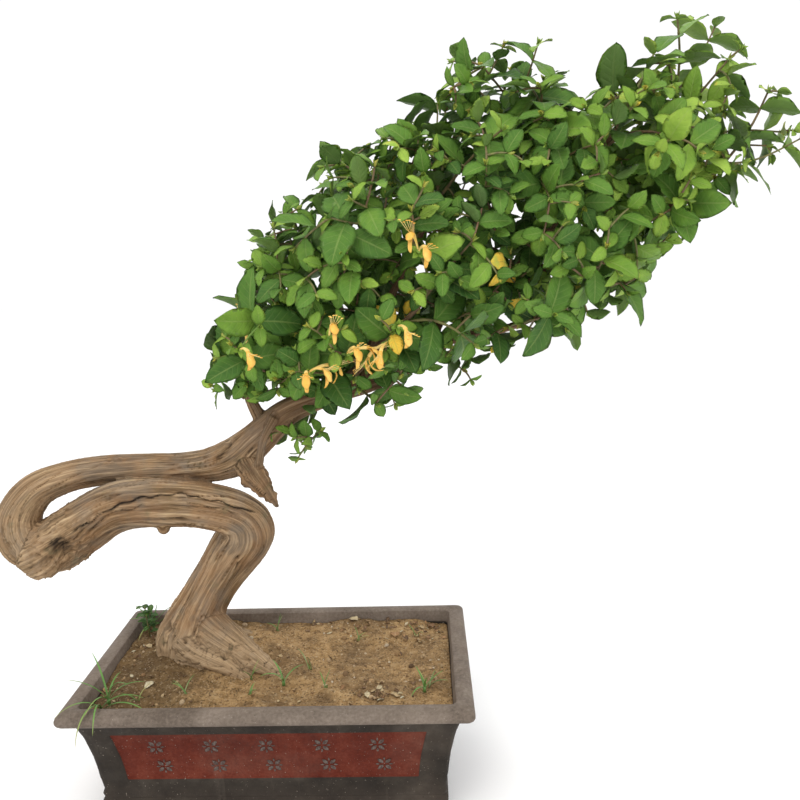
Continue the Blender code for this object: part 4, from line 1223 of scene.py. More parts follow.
def pot_profile():
    """The outer wall with its lip rounded and its curve smoothed: height, inset, panel share."""
    wall = []
    for row, (z, inset) in enumerate(OUTER_WALL):
        if z <= WALL_TOP:
            wall.append((z, inset, 1.0 if row in PANEL_ROWS else 0.0))
    for row, level in PANEL_CURVE:
        wall.insert(row, level)
    rim = []
    for k in range(RIM_POINTS + 1):
        turn = -math.pi / 2 + math.pi * k / RIM_POINTS
        rim.append((LIP_HEIGHT + LIP_RADIUS * math.sin(turn), LIP_RADIUS - LIP_RADIUS * math.cos(turn), 0.0))
    return wall + [(0.1352, 0.0100, 0.0)] + rim + [(0.1499, 0.0090, 0.0)]


def round_loop(half_x, half_y, z, sunk=0.0, mask=0.0):
    """One level of the wall with rounded corners, and the panel share of its points."""
    points, masks = [], []
    for turn in range(4):
        across = turn % 2 == 0
        half, away = (half_x, half_y) if across else (half_y, half_x)
        edge = half - PANEL_MARGIN
        row = [(-half + CORNER, 0, 0), (-edge, 0, 0), (-edge + PANEL_STEP, sunk, mask)]
        row += [(edge * k / 4, sunk, mask) for k in (-3, -2, -1, 0, 1, 2, 3)]
        row += [(edge - PANEL_STEP, sunk, mask), (edge, 0, 0), (half - CORNER, 0, 0)]
        local = [(x, -away + inward, share) for x, inward, share in row]
        for k in range(1, CORNER_STEPS):
            angle = -math.pi / 2 + math.pi / 2 * k / CORNER_STEPS
            x, y = half - CORNER + CORNER * math.cos(angle), -away + CORNER + CORNER * math.sin(angle)
            local.append((x, y, 0))
        c, s = round(math.cos(turn * math.pi / 2)), round(math.sin(turn * math.pi / 2))
        for x, y, share in local:
            points.append((c * x - s * y, s * x + c * y, z))
            masks.append(share)
    return points, masks


def pot_body():
    """The pot without its feet and drain holes, with the panel share of each point."""
    half_x, half_y = POT_LENGTH / 2, POT_WIDTH / 2
    levels = pot_profile() + [(z, inset, 0.0) for z, inset in (*FINE_LIP, *INNER_WALL[1:])]
    loops, masks = [], []
    for z, inset, panel in levels:
        loop, mask = round_loop(half_x - inset, half_y - inset, z, PANEL_DEPTH * panel, panel)
        loops.append(loop)
        masks += mask
    points, faces = stacked_loops(loops)
    mesh = bpy.data.meshes.new("pot_body")
    mesh.from_pydata(points, [], faces)
    shape = bmesh.new()
    shape.from_mesh(mesh)
    bmesh.ops.recalc_face_normals(shape, faces=shape.faces)
    shape.to_mesh(mesh)
    shape.free()
    set_values(mesh, "panel", masks)
    return add_object("pot_clay", mesh)


def soften_edges(target):
    bevel = target.modifiers.new("Bevel", "BEVEL")
    bevel.width = 0.0007
    bevel.segments = 2
    bevel.limit_method = "ANGLE"
    bevel.angle_limit = math.radians(38)
    bevel.use_clamp_overlap = True


def build_pot_piece(looks):
    pot = pot_body()
    cutters, feet = [], []
    for sx in (-1, 1):
        place = (sx * DRAIN_X, 0, INNER_WALL[-1][0])
        bpy.ops.mesh.primitive_cylinder_add(vertices=40, radius=DRAIN_RADIUS, depth=0.06, location=place)
        cutters.append(bpy.context.object)
        feet += [foot_block(sx, sy) for sy in (-1, 1)]
    apply_boolean(pot, feet, "UNION")
    apply_boolean(pot, cutters, "DIFFERENCE")
    soften_edges(pot)
    done = applied_mesh(pot)
    bpy.data.objects.remove(pot)
    done.transform(Matrix.Translation(SHIFT))
    made = finish_piece(done, "pot_clay", looks["clay"], ["pot"])
    made.data.set_sharp_from_angle(angle=math.radians(42))


def foot_block(sx, sy):
    """One corner foot, a little tapered towards its underside."""
    half_x, half_y = POT_LENGTH / 2, POT_WIDTH / 2
    inset = OUTER_WALL[0][1] + 0.001
    cx = sx * (half_x - inset - FOOT[0] / 2)
    cy = sy * (half_y - inset - FOOT[1] / 2)
    bpy.ops.mesh.primitive_cube_add(size=1)
    foot = bpy.context.object
    for vertex in foot.data.vertices:
        taper = 0.94 if vertex.co.z < 0 else 1.0
        vertex.co = (cx + vertex.co.x * FOOT[0] * taper, cy + vertex.co.y * FOOT[1] * taper,
                     FOOT[2] / 2 + vertex.co.z * FOOT[2])
    return foot


def apply_boolean(target, others, operation):
    for other in others:
        change = target.modifiers.new("Boolean", "BOOLEAN")
        change.operation = operation
        change.object = other
        change.solver = "EXACT"
        result = applied_mesh(target)
        target.modifiers.clear()
        target.data = result
        bpy.data.objects.remove(other)


ROSETTE_ROWS = (0.101, 0.0755)  # heights of the two rows
ROSETTE_SPACING = 0.057
WALL_SLOPE = 0.165  # the panel's lean, outwards for its height
PETALS = ((0.0046, 0.0046, 0.0018), (0.0016, 0.0080, 0.0042))  # start, length and width by turns


def build_rosettes(looks):
    """Plain rosettes in low relief on the long panels: four petals and four drops between them."""
    heights, insets = zip(*OUTER_WALL)
    for name, side in (("front", -1), ("back", 1)):
        batch = Batch()
        for k in range(5):
            for row, z in enumerate(ROSETTE_ROWS):
                x = (k - 2) * ROSETTE_SPACING + (row - 0.5) * 0.006
                wall = float(np.interp(z, heights, insets))
                middle = Vector((x, side * (POT_WIDTH / 2 - wall - PANEL_DEPTH + 0.0003), z))
                for petal in range(8):
                    turn = petal * math.pi / 4
                    along = Vector((math.cos(turn), WALL_SLOPE * side * math.sin(turn), math.sin(turn)))
                    start, *size = PETALS[petal % 2]
                    batch.leaf(middle + along * start, along, Vector((0, side, 0)), *size, 0.0, 0.0, ovate,
                               (6, 4), thick=0.0004)
        batch.piece(f"panel_rosettes_{name}", looks["ink"], "clay")


# The soil

SOIL_GRID = (230, 130)
SOIL_EDGE = 0.006  # width of the margin where the corners of the soil are rounded


def fine_soil_height(x, y):
    level = soil_height(x, y)
    p = Vector((x, y, 0.0))
    level += 0.0016 * noise.fractal(p * 70, 1.0, 2.0, 4) + 0.0007 * noise.noise(p * 420)
    clod = noise.noise(p * 160 + Vector((7, 3, 1)))
    return level + 0.0016 * max(0.0, clod - 0.25)


def build_soil_piece(looks):
    """A grid of the crusted surface, closed by straight sides and a floor."""
    nx, ny = SOIL_GRID
    inset = inner_inset(SOIL_TOP - 0.003) + 0.0006
    half_x, half_y = POT_LENGTH / 2 - inset, POT_WIDTH / 2 - inset
    points, relief_for_shading = [], []
    for i in range(nx + 1):
        for j in range(ny + 1):
            x, y = (2 * i / nx - 1) * half_x, (2 * j / ny - 1) * half_y
            over = max(0.0, abs(x) - (half_x - SOIL_EDGE)) - SOIL_EDGE
            over += max(0.0, abs(y) - (half_y - SOIL_EDGE))
            z = fine_soil_height(x, y)
            if over > 0:
                x -= math.copysign(over * 0.5, x)
                y -= math.copysign(over * 0.5, y)
            points.append((x, y, z))
            # The fine relief, kept for the soil's painted shade in low spots and painted light on the clods.
            relief_for_shading.append(z - soil_height(x, y))
    faces = []
    for i in range(nx):
        for j in range(ny):
            a = i * (ny + 1) + j
            faces.append([a, a + ny + 1, a + ny + 2, a + 1])
    rim = [i * (ny + 1) for i in range(nx + 1)] + [nx * (ny + 1) + j for j in range(1, ny + 1)]
    rim += [i * (ny + 1) + ny for i in range(nx - 1, -1, -1)] + [j for j in range(ny - 1, 0, -1)]
    floor, floor_inset = INNER_WALL[-1]
    bottom, count = len(points), len(rim)
    ratio_x = (POT_LENGTH / 2 - floor_inset - 0.001) / half_x
    ratio_y = (POT_WIDTH / 2 - floor_inset - 0.001) / half_y
    points += [(points[index][0] * ratio_x, points[index][1] * ratio_y, floor + GAP) for index in rim]
    relief_for_shading += [0.0] * count
    for k in range(count):
        after = (k + 1) % count
        faces.append([rim[after], rim[k], bottom + k, bottom + after])
    faces.append([bottom + k for k in range(count - 1, -1, -1)])
    batch = Batch()
    batch.take(points, faces)
    batch.tone = [np.clip(0.5 + np.array(relief_for_shading) / 0.005, 0, 1)]
    batch.piece("soil_crust", looks["earth"], "earth", ["soil"])


GRAINS = 420
COARSE = 12  # one grain in this many is a coarse one
HEAP_HUSKS = 9
STRAY_HUSKS = 46
BARE = (-0.10, 0.03, 0.05)  # x, y and radius round the trunk's foot where no scrap lies
LITTER_HEAPS = (
    (0.108, -0.066), (0.120, -0.072), (0.134, -0.062), (0.098, -0.060), (0.172, 0.050), (0.176, 0.072),
    (0.163, 0.084), (0.120, 0.082), (0.085, 0.086), (0.040, 0.086), (0.150, 0.080), (-0.172, 0.030),
    (-0.165, 0.052), (-0.176, -0.050), (0.146, 0.052),
)
FALLEN = (  # x, y, size, tone
    (-0.133, -0.043, 0.0130, 0.05), (0.079, 0.087, 0.015, 0.12), (0.054, -0.055, 0.006, 0.12),
    (0.126, 0.048, 0.016, 0.45), (0.172, 0.078, 0.013, 0.7), (-0.170, 0.040, 0.010, 0.15),
    (0.100, -0.064, 0.009, 0.10), (0.125, -0.070, 0.008, 0.2), (0.170, -0.020, 0.009, 0.35),
)


def build_litter(looks):
    """Grit, clods, seeds, husks and dead leaves that lie on the soil."""
    rng = random.Random(SEEDS["litter"])
    grit, litter = Batch(), Batch()

    def spot(margin=0.012):
        while True:
            x = rng.uniform(-1, 1) * (POT_LENGTH / 2 - 0.024 - margin)
            y = rng.uniform(-1, 1) * (POT_WIDTH / 2 - 0.024 - margin)
            if (x - BARE[0]) ** 2 + (y - BARE[1]) ** 2 > BARE[2] ** 2:
                return x, y

    for k in range(GRAINS):
        x, y = spot(0.004)
        radius = rng.uniform(0.0007, 0.0022) if k % COARSE else rng.uniform(0.0025, 0.0042)
        points, faces = lump(0, 0, 0, radius)
        turn = Matrix.Rotation(rng.uniform(0, 6.28), 3, Vector((rng.random(), rng.random(), 1)))
        squash = Vector((1, rng.uniform(0.6, 1), rng.uniform(0.5, 0.8)))
        place = Vector((x, y, fine_soil_height(x, y) + radius * 0.15))
        grit.take([place + turn @ (p * squash) for p in points], faces, tone=rng.random())
    for x, y in LITTER_HEAPS:
        for _ in range(HEAP_HUSKS):
            lay_husk(litter, x + rng.gauss(0, 0.008), y + rng.gauss(0, 0.006), rng)
    for _ in range(STRAY_HUSKS):
        lay_husk(litter, *spot(), rng)
    for x, y, size, tone in FALLEN:
        level = fine_soil_height(x, y) + 0.0015
        along = heading(rng.uniform(0, 6.28), 0.05)
        litter.leaf(Vector((x, y, level)), along, UPWARD, size, size * 0.72, 0.35, 0.12, ovate, (8, 6),
                    wave=0.04, cup=0.15, tone=tone)
    grit.piece("soil_grit", looks["grit"], "earth")
    litter.piece("soil_litter", looks["litter"], "earth")


def lay_husk(batch, x, y, rng):
    """A curled scrap of dead leaf or a seed coat."""
    limit_x, limit_y = POT_LENGTH / 2 - 0.027, POT_WIDTH / 2 - 0.027
    x, y = max(-limit_x, min(limit_x, x)), max(-limit_y, min(limit_y, y))
    turn = rng.uniform(0, 6.28)
    size = rng.uniform(0.004, 0.009)
    along = heading(turn, rng.uniform(-0.1, 0.5))
    up = Vector((rng.uniform(-0.6, 0.6), rng.uniform(-0.6, 0.6), 1))
    place = Vector((x, y, fine_soil_height(x, y) + 0.0006))
    batch.leaf(place, along, up, size, size * rng.uniform(0.35, 0.7), rng.uniform(-1.2, 1.6),
               rng.uniform(-0.3, 0.6), ovate, (5, 4), wave=0.06, phase=rng.random() * 6, tone=rng.random())


def node_tree(name):
    """The surface of a plain node, where it stands before the shift."""
    node = bpy.data.objects[name]
    points = [node.matrix_world @ v.co - SHIFT for v in node.data.vertices]
    return BVHTree.FromPolygons(points, [tuple(p.vertices) for p in node.data.polygons])


def grow_grass():
    """Feet and blades of the tufts, by the same draws as the plain ones."""
    ground, *others = (node_tree(name) for name in ("soil", "pot", "trunk"))
    rng = random.Random(SEEDS["grass"])
    tufts = []
    for x, y, blades, length in GRASS_TUFTS:
        level = max(ground.ray_cast(Vector((x + dx, y + dy, 1)), Vector((0, 0, -1)))[0].z
                    for dx in (-0.002, 0, 0.002) for dy in (-0.002, 0, 0.002))
        foot = Vector((x, y, level + GAP))
        found = []
        for k in range(blades):
            start = foot + Vector((0, 0, 0.0026 + 0.0003 * k))
            for _ in range(BLADE_TRIES):
                turn = 2 * math.pi * (k + 0.6 * rng.random()) / blades
                out = heading(turn)
                along = (out * rng.uniform(0.2, 0.7) + UPWARD).normalized()
                up = (along * out.dot(along) - out).normalized()
                measures = (start, along, up, length * rng.uniform(0.6, 1.0), 0.0034, rng.uniform(0.6, 1.9))
                tree = BVHTree.FromPolygons(*blade(*measures, 0.05, BLADE, 0.0010))
                if not any(tree.overlap(solid) for solid in (ground, *others)):
                    found.append(measures)
                    break
        tufts.append((foot, found))
    return tufts


def dress_grass(tufts, looks):
    for number, (foot, blades) in enumerate(tufts, 1):
        batch = Batch()
        batch.rod([foot, foot + Vector((0, 0, 0.006))], (0.0020, 0.0014), 8, 0.6)
        for k, (start, along, up, length, width, droop) in enumerate(blades):
            batch.leaf(start, along, up, length, width, droop, 0.35, grass_share, (14, 4), thick=0.0003,
                       tone=0.3 + 0.1 * (k % 5))
        batch.piece(f"grass_{number}_blades", looks["grass"], "grass", [f"grass_{number}"])


WISPS = (  # x, y, length: single thin blades
    (-0.030, -0.036, 0.028), (-0.026, -0.064, 0.022), (0.032, -0.017, 0.034), (0.162, -0.052, 0.028),
    (-0.092, -0.068, 0.030), (0.054, -0.058, 0.022), (0.080, 0.050, 0.026), (-0.020, 0.070, 0.024),
    (-0.140, -0.074, 0.026), (0.150, 0.060, 0.024),
)
OVER_RIM = (  # where a long blade heads, its length and how far it arches
    ((-0.05, -0.52, 1.0), 0.068, 2.5), ((0.10, -0.42, 1.0), 0.062, 2.2), ((0.75, -0.20, 0.8), 0.060, 1.5),
    ((0.60, 0.10, 0.9), 0.050, 1.6), ((-0.35, -0.30, 1.0), 0.055, 1.9),
)
RIM_TUFT = (-0.172, -0.086)
SPROUTS = ((-0.178, 0.074, 0.036), (-0.172, 0.060, 0.030), (-0.181, 0.082, 0.032))


def build_weeds(looks):
    """Thin single blades and a small broad-leaved weed at the left."""
    rng = random.Random(SEEDS["weeds"])
    blades, leaves, stems = Batch(), Batch(), Batch()
    for x, y, length in WISPS:
        for k in range(3):
            out = heading(rng.uniform(0, 6.28))
            along = out * rng.uniform(0.2, 0.5) + UPWARD
            start = Vector((x + 0.0015 * k, y, fine_soil_height(x, y) - 0.001))
            blades.leaf(start, along, along * out.dot(along) - out, length * rng.uniform(0.6, 1.0), 0.0022,
                        rng.uniform(0.3, 1.5), 0.35, grass_share, (12, 4), thick=0.0003, tone=rng.random())
    for headed, length, droop in OVER_RIM:
        x, y = RIM_TUFT
        start = Vector((x + rng.uniform(-0.003, 0.003), y, fine_soil_height(x, y)))
        along = Vector(headed).normalized()
        out = Vector((along.x, along.y, 0)).normalized()
        blades.leaf(start, along, along * out.dot(along) - out, length, 0.0034, droop, 0.35, grass_share,
                    (18, 4), thick=0.0003, tone=rng.uniform(0.4, 0.8))
    for x, y, height in SPROUTS:
        foot = Vector((x, y, fine_soil_height(x, y) - 0.002))
        lean = Vector((rng.uniform(-0.3, 0.3), rng.uniform(-0.4, 0.1), 1)).normalized()
        top = foot + lean * height
        stems.rod([foot, foot.lerp(top, 0.5), top], (0.0010, 0.0008, 0.0006), 8, 0.2)
        for k in range(8):
            place = foot.lerp(top, 0.25 + 0.75 * k / 7)
            length = 0.016 * rng.uniform(0.7, 1.1)
            leaves.leaf(place, heading(2.4 * k, 0.45), UPWARD, length, 0.0075, 0.5, 0.25, ovate, (7, 4),
                        wave=0.03, tone=0.14 + 0.2 * rng.random())
    blades.piece("thin_grass", looks["grass"], "grass")
    leaves.piece("weed_leaves", looks["leaf"], "leaf")
    stems.piece("weed_stems", looks["stem"], "leaf")


# The materials

def new_look(name):
    look = bpy.data.materials.new(name)
    look.use_nodes = True
    return Nodes(look)


class Nodes:
    """Short ways to add and join shader nodes."""

    def __init__(self, look):
        self.look = look
        self.tree = look.node_tree
        self.shader = self.tree.nodes["Principled BSDF"]

    def put(self, target, value):
        """Join the value to the input where it is a socket, and set it otherwise."""
        if isinstance(value, bpy.types.NodeSocket):
            self.tree.links.new(value, target)
        elif isinstance(value, tuple) and len(value) == 3 and len(target.default_value) == 4:
            target.default_value = (*value, 1.0)
        else:
            target.default_value = value

    def add(self, kind, inputs, **settings):
        """The outputs of a new node with those inputs and settings."""
        node = self.tree.nodes.new(kind)
        for key, value in settings.items():
            setattr(node, key, value)
        for key, value in inputs.items():
            self.put(node.inputs[key], value)
        return node.outputs

    def value(self, name):
        return self.add("ShaderNodeAttribute", {}, attribute_name=name)["Fac"]

    def vector(self, name):
        return self.add("ShaderNodeAttribute", {}, attribute_name=name)["Vector"]

    def place(self):
        return self.add("ShaderNodeTexCoord", {})["Object"]

    def uv(self):
        return self.add("ShaderNodeTexCoord", {})["UV"]

    def stretch(self, vector, scale):
        return self.add("ShaderNodeMapping", {"Vector": vector, "Scale": scale})["Vector"]

    def grain(self, vector, scale, detail=4.0, rough=0.55, distortion=0.0):
        return self.add("ShaderNodeTexNoise", {
            "Vector": vector, "Scale": scale, "Detail": detail, "Roughness": rough,
            "Distortion": distortion,
        })["Fac"]

    def cells(self, vector, scale, feature="F1", output="Distance"):
        return self.add("ShaderNodeTexVoronoi", {"Vector": vector, "Scale": scale}, feature=feature)[output]

    def math(self, kind, a, b=0.0):
        return self.add("ShaderNodeMath", {0: a, 1: b}, operation=kind)[0]

    def span(self, value, low, high, to_low=0.0, to_high=1.0):
        """The value's place between low and high, as a number from to_low to to_high."""
        return self.add("ShaderNodeMapRange", {
            "Value": value, "From Min": low, "From Max": high, "To Min": to_low, "To Max": to_high,
        })["Result"]

    def ramp(self, value, stops):
        colour = self.add("ShaderNodeValToRGB", {"Fac": value})["Color"]
        band = colour.node.color_ramp
        while len(band.elements) > 1:
            band.elements.remove(band.elements[-1])
        band.elements[0].position, first = stops[0]
        band.elements[0].color = (*first, 1.0)
        for position, later in stops[1:]:
            band.elements.new(position).color = (*later, 1.0)
        return colour

    def mix(self, share, a, b):
        return self.add("ShaderNodeMix", {"Factor": share, 6: a, 7: b}, data_type="RGBA")[2]

    def split(self, vector):
        return self.add("ShaderNodeSeparateXYZ", {0: vector})

    def bump(self, height, strength, distance):
        return self.add("ShaderNodeBump", {
            "Strength": strength, "Distance": distance, "Height": height,
        })["Normal"]

    def blend(self, a, share, b, rest):
        """The sum of a and b, each by its share."""
        return self.math("ADD", self.math("MULTIPLY", a, share), self.math("MULTIPLY", b, rest))

    def stray(self, value, grain, reach):
        """The value, moved up or down by the grain."""
        return self.math("ADD", value, self.span(grain, 0.3, 0.7, -reach, reach))

    def tint(self, colour, other, value, *ends):
        """The colour, turned to the other by the share that the value has between the ends."""
        return self.mix(self.span(value, *ends), colour, other)

    def bands(self, value):
        """A wave that falls and rises once as the value grows by one."""
        return self.math("ABSOLUTE", self.math("SUBTRACT", self.math("FRACT", value), 0.5))

    def done(self, colour, rough, normal=None, specular=0.5):
        inputs = {"Base Color": colour, "Roughness": rough, "Specular IOR Level": specular}
        if normal:
            inputs["Normal"] = normal
        for key, value in inputs.items():
            self.put(self.shader.inputs[key], value)
        return self.look


# How the green runs from old to young leaves, and to leaves that turn yellow.
LEAF_TONES = (
    (0.00, (0.016, 0.050, 0.009)), (0.25, (0.044, 0.118, 0.017)), (0.50, (0.105, 0.225, 0.028)),
    (0.72, (0.210, 0.360, 0.042)), (0.88, (0.345, 0.510, 0.075)), (0.95, (0.62, 0.55, 0.08)),
    (1.00, (0.84, 0.55, 0.06)),
)


def leaf_look():
    """Green blade by age, paler midrib and side veins, a painted grey-green sheen in broad patches and a pale
    underside.
    """
    n = new_look("honeysuckle_leaf")
    u, t, _ = n.split(n.uv())
    away = n.math("ABSOLUTE", u)
    tone, under, place = n.value("tone"), n.value("under"), n.place()
    patch = n.grain(place, 55, 4, 0.6)
    green = n.ramp(n.stray(tone, patch, 0.09), LEAF_TONES)
    midrib = n.span(away, 0.035, 0.085, 1.0, 0.0)
    slant = n.math("SUBTRACT", n.math("MULTIPLY", t, 7.5), n.math("MULTIPLY", away, 1.7))
    wave = n.bands(slant)
    veins = n.math("MULTIPLY", n.span(wave, 0.03, 0.10, 1.0, 0.0), n.span(away, 0.5, 0.95, 1.0, 0.0))
    net = n.cells(place, 900, "DISTANCE_TO_EDGE")
    lines = n.math("MAXIMUM", midrib, n.math("MULTIPLY", veins, 0.45))
    pale = n.mix(0.5, green, (0.34, 0.43, 0.13))
    colour = n.mix(n.math("MULTIPLY", lines, 0.55), green, pale)
    colour = n.tint(colour, (0.155, 0.235, 0.082), under, 0.3, 0.8, 0.0, 0.55)
    # Painted sheen: broad patches turned towards a greyer green.
    colour = n.tint(colour, (0.125, 0.215, 0.085), n.grain(place, 16, 3), 0.42, 0.66, 0.0, 0.12)
    colour = n.tint(colour, (0.09, 0.075, 0.02), n.grain(place, 260, 2), 0.70, 0.76, 0.0, 0.5)
    edge = n.math("MULTIPLY", n.span(away, 0.86, 1.0, 0.0, 1.0), n.span(patch, 0.52, 0.62, 0.0, 0.45))
    colour = n.mix(edge, colour, (0.33, 0.27, 0.07))
    height = n.blend(lines, -0.9, n.span(net, 0.0, 0.12), 0.25)
    quilt = n.math("MULTIPLY", n.span(wave, 0.0, 0.5, 0.0, 1.0), 0.35)
    normal = n.bump(n.math("ADD", height, quilt), 0.55, 0.0009)
    rough = n.span(n.grain(place, 80, 3), 0.3, 0.7, 0.44, 0.62)
    return n.done(colour, rough, normal, specular=0.18)


def stem_look():
    n = new_look("honeysuckle_stem")
    place = n.place()
    tone = n.value("tone")
    base = n.mix(tone, (0.19, 0.20, 0.055), (0.20, 0.115, 0.055))
    blotch = n.grain(place, 210, 5)
    colour = n.tint(base, (0.085, 0.060, 0.030), blotch, 0.4, 0.65, 0.0, 0.7)
    fine = n.grain(n.stretch(place, (1, 1, 0.35)), 900, 3)
    return n.done(colour, 0.62, n.bump(fine, 0.5, 0.0003))


def petal_look():
    n = new_look("honeysuckle_petal")
    u, t, _ = n.split(n.uv())
    place, tone = n.place(), n.value("tone")
    base = n.ramp(n.stray(tone, n.grain(place, 120, 3), 0.12), (
        (0.0, (0.80, 0.66, 0.30)), (0.30, (0.90, 0.66, 0.22)), (0.60, (0.90, 0.50, 0.08)),
        (0.85, (0.94, 0.62, 0.15)), (1.0, (0.80, 0.40, 0.05)),
    ))
    away = n.math("ABSOLUTE", u)
    stripe = n.bands(n.math("MULTIPLY", away, 4.0))
    colour = n.tint(base, (0.60, 0.26, 0.03), stripe, 0.0, 0.16, 0.30, 0.0)
    rim = n.math("MULTIPLY", n.span(t, 0.78, 1.0), n.span(n.grain(place, 300, 3), 0.45, 0.7, 0.0, 0.6))
    colour = n.mix(rim, colour, (0.48, 0.22, 0.04))
    normal = n.bump(n.grain(n.stretch(n.uv(), (9, 1, 1)), 9, 4), 0.5, 0.0005)
    return n.done(colour, 0.48, normal, specular=0.35)


def grass_look():
    n = new_look("weed_grass")
    u, t, _ = n.split(n.uv())
    tone, place = n.value("tone"), n.place()
    base = n.ramp(n.math("ADD", tone, n.span(t, 0.0, 1.0, -0.25, 0.30)), (
        (0.0, (0.22, 0.26, 0.10)), (0.35, (0.085, 0.21, 0.035)), (0.70, (0.13, 0.30, 0.05)),
        (1.0, (0.36, 0.33, 0.11)),
    ))
    stripe = n.math("FRACT", n.math("MULTIPLY", n.math("ABSOLUTE", u), 3.5))
    colour = n.tint(base, (0.20, 0.32, 0.12), stripe, 0.0, 0.4, 0.25, 0.0)
    rough = n.span(n.grain(place, 200, 2), 0.3, 0.7, 0.45, 0.62)
    return n.done(colour, rough, n.bump(n.grain(n.stretch(n.uv(), (14, 1, 1)), 4, 3), 0.4, 0.0004))


def bark_look():
    """Weathered strands that run along each limb, painted shade in the furrows, a painted highlight on the
    raised strands, a bleached foot and younger red bark.
    """
    n = new_look("old_bark")
    wrap, place = n.vector("wrap"), n.place()
    furrow, old, young = n.value("furrow"), n.value("old"), n.value("young")
    strand = n.grain(n.stretch(wrap, (260, 260, 13)), 1.0, 6, 0.64, 0.5)
    thread = n.grain(n.stretch(wrap, (760, 760, 30)), 1.0, 5, 0.62, 0.3)
    tone = n.ramp(n.blend(strand, 0.62, thread, 0.38), (
        (0.36, (0.046, 0.028, 0.014)), (0.44, (0.130, 0.080, 0.041)), (0.50, (0.228, 0.147, 0.078)),
        (0.56, (0.352, 0.237, 0.132)), (0.65, (0.560, 0.405, 0.240)),
    ))
    patch = n.grain(place, 21, 4)
    grey = n.tint(tone, n.mix(0.6, tone, (0.17, 0.155, 0.140)), patch, 0.45, 0.62, 0.0, 0.55)
    warm = n.mix(0.5, tone, (0.33, 0.170, 0.075))
    grey = n.tint(grey, warm, n.grain(place, 30, 5, 0.6), 0.46, 0.62, 0.0, 0.65)
    foot = n.mix(0.34, tone, (0.58, 0.420, 0.255))
    colour = n.mix(n.math("MULTIPLY", old, 0.90), grey, foot)
    red = n.mix(0.55, tone, (0.175, 0.085, 0.045))
    colour = n.mix(n.math("MULTIPLY", young, 0.9), colour, red)
    # Painted shade: near-black in the furrows, folds, cracks and hollows.
    colour = n.tint(colour, (0.014, 0.010, 0.008), furrow, 0.36, 0.95, 0.0, 0.92)
    # Painted highlight: a paler colour on the raised strands, where the shade mask is lowest.
    strand_highlight = n.mix(0.5, colour, (0.52, 0.43, 0.32))
    colour = n.tint(colour, strand_highlight, furrow, 0.0, 0.16, 0.22, 0.0)
    damp = n.span(n.grain(place, 48, 4), 0.60, 0.70, 0.0, 0.30)
    moss = n.math("MULTIPLY", damp, n.math("SUBTRACT", 1.0, young))
    colour = n.mix(moss, colour, (0.11, 0.115, 0.060))
    height = n.blend(strand, 0.7, thread, 0.5)
    normal = n.bump(height, 0.85, 0.0022)
    rough = n.span(strand, 0.3, 0.7, 0.92, 0.72)
    return n.done(colour, rough, normal, specular=0.12)


def clay_look():
    """Stoneware: the rim painted grey as lit clay and the body painted much darker as the same clay in shade,
    brick-red panels, all dusty.
    """
    n = new_look("stoneware")
    place = n.place()
    _, _, z = n.split(place)
    panel = n.value("panel")
    fine = n.grain(place, 330, 5, 0.6)
    broad = n.grain(place, 24, 4, 0.6)
    # Painted light and shade: the grey ramp is the clay as lit on the rim, the ramp after it the same clay
    # darkened as shade on the walls.
    grey = n.ramp(n.blend(fine, 0.45, broad, 0.55), (
        (0.36, (0.112, 0.087, 0.068)), (0.50, (0.170, 0.135, 0.108)), (0.64, (0.232, 0.188, 0.153)),
    ))
    painted_shade = n.ramp(broad, (
        (0.35, (0.020, 0.016, 0.013)), (0.55, (0.036, 0.029, 0.023)), (0.70, (0.060, 0.049, 0.039)),
    ))
    red = n.ramp(n.blend(fine, 0.35, broad, 0.65), (
        (0.34, (0.068, 0.012, 0.007)), (0.50, (0.106, 0.019, 0.010)), (0.66, (0.148, 0.034, 0.019)),
    ))
    lip = n.stray(z, broad, 0.0012)
    # Painted light on the rim, painted shade on the walls below it.
    colour = n.tint(painted_shade, grey, lip, 0.1345, 0.1362)
    colour = n.tint(colour, red, panel, 0.35, 0.65)
    colour = n.tint(colour, (0.060, 0.045, 0.036), z, 0.052, 0.030, 0.0, 0.35)
    dust = n.span(n.grain(place, 9, 6, 0.65), 0.50, 0.72, 0.0, 0.15)
    colour = n.mix(n.math("MULTIPLY", dust, n.span(z, 0.149, 0.1500, 0.7, 1.0)), colour, (0.30, 0.235, 0.18))
    runs = n.grain(n.stretch(place, (95, 95, 7)), 1.0, 4)
    colour = n.tint(colour, (0.25, 0.205, 0.165), runs, 0.60, 0.74, 0.0, 0.08)
    colour = n.tint(colour, (0.34, 0.285, 0.235), n.grain(place, 520, 2), 0.70, 0.74, 0.0, 0.75)
    # Painted shade: the pits are turned near-black.
    pits = n.span(n.grain(place, 610, 2), 0.30, 0.26, 0.0, 0.8)
    colour = n.mix(pits, colour, (0.018, 0.014, 0.012))
    height = n.blend(fine, 0.6, n.grain(place, 90, 3), 0.5)
    normal = n.bump(n.math("SUBTRACT", height, n.math("MULTIPLY", pits, 0.6)), 0.45, 0.0009)
    rough = n.span(n.grain(place, 60, 4), 0.3, 0.7, 0.48, 0.78)
    return n.done(colour, rough, normal, specular=0.10)


def ink_look():
    n = new_look("panel_ornament")
    place = n.place()
    grain = n.grain(place, 420, 4)
    colour = n.ramp(grain, (
        (0.38, (0.050, 0.024, 0.018)), (0.5, (0.078, 0.052, 0.042)), (0.66, (0.135, 0.105, 0.088)),
    ))
    return n.done(colour, 0.75, n.bump(grain, 0.5, 0.0006))


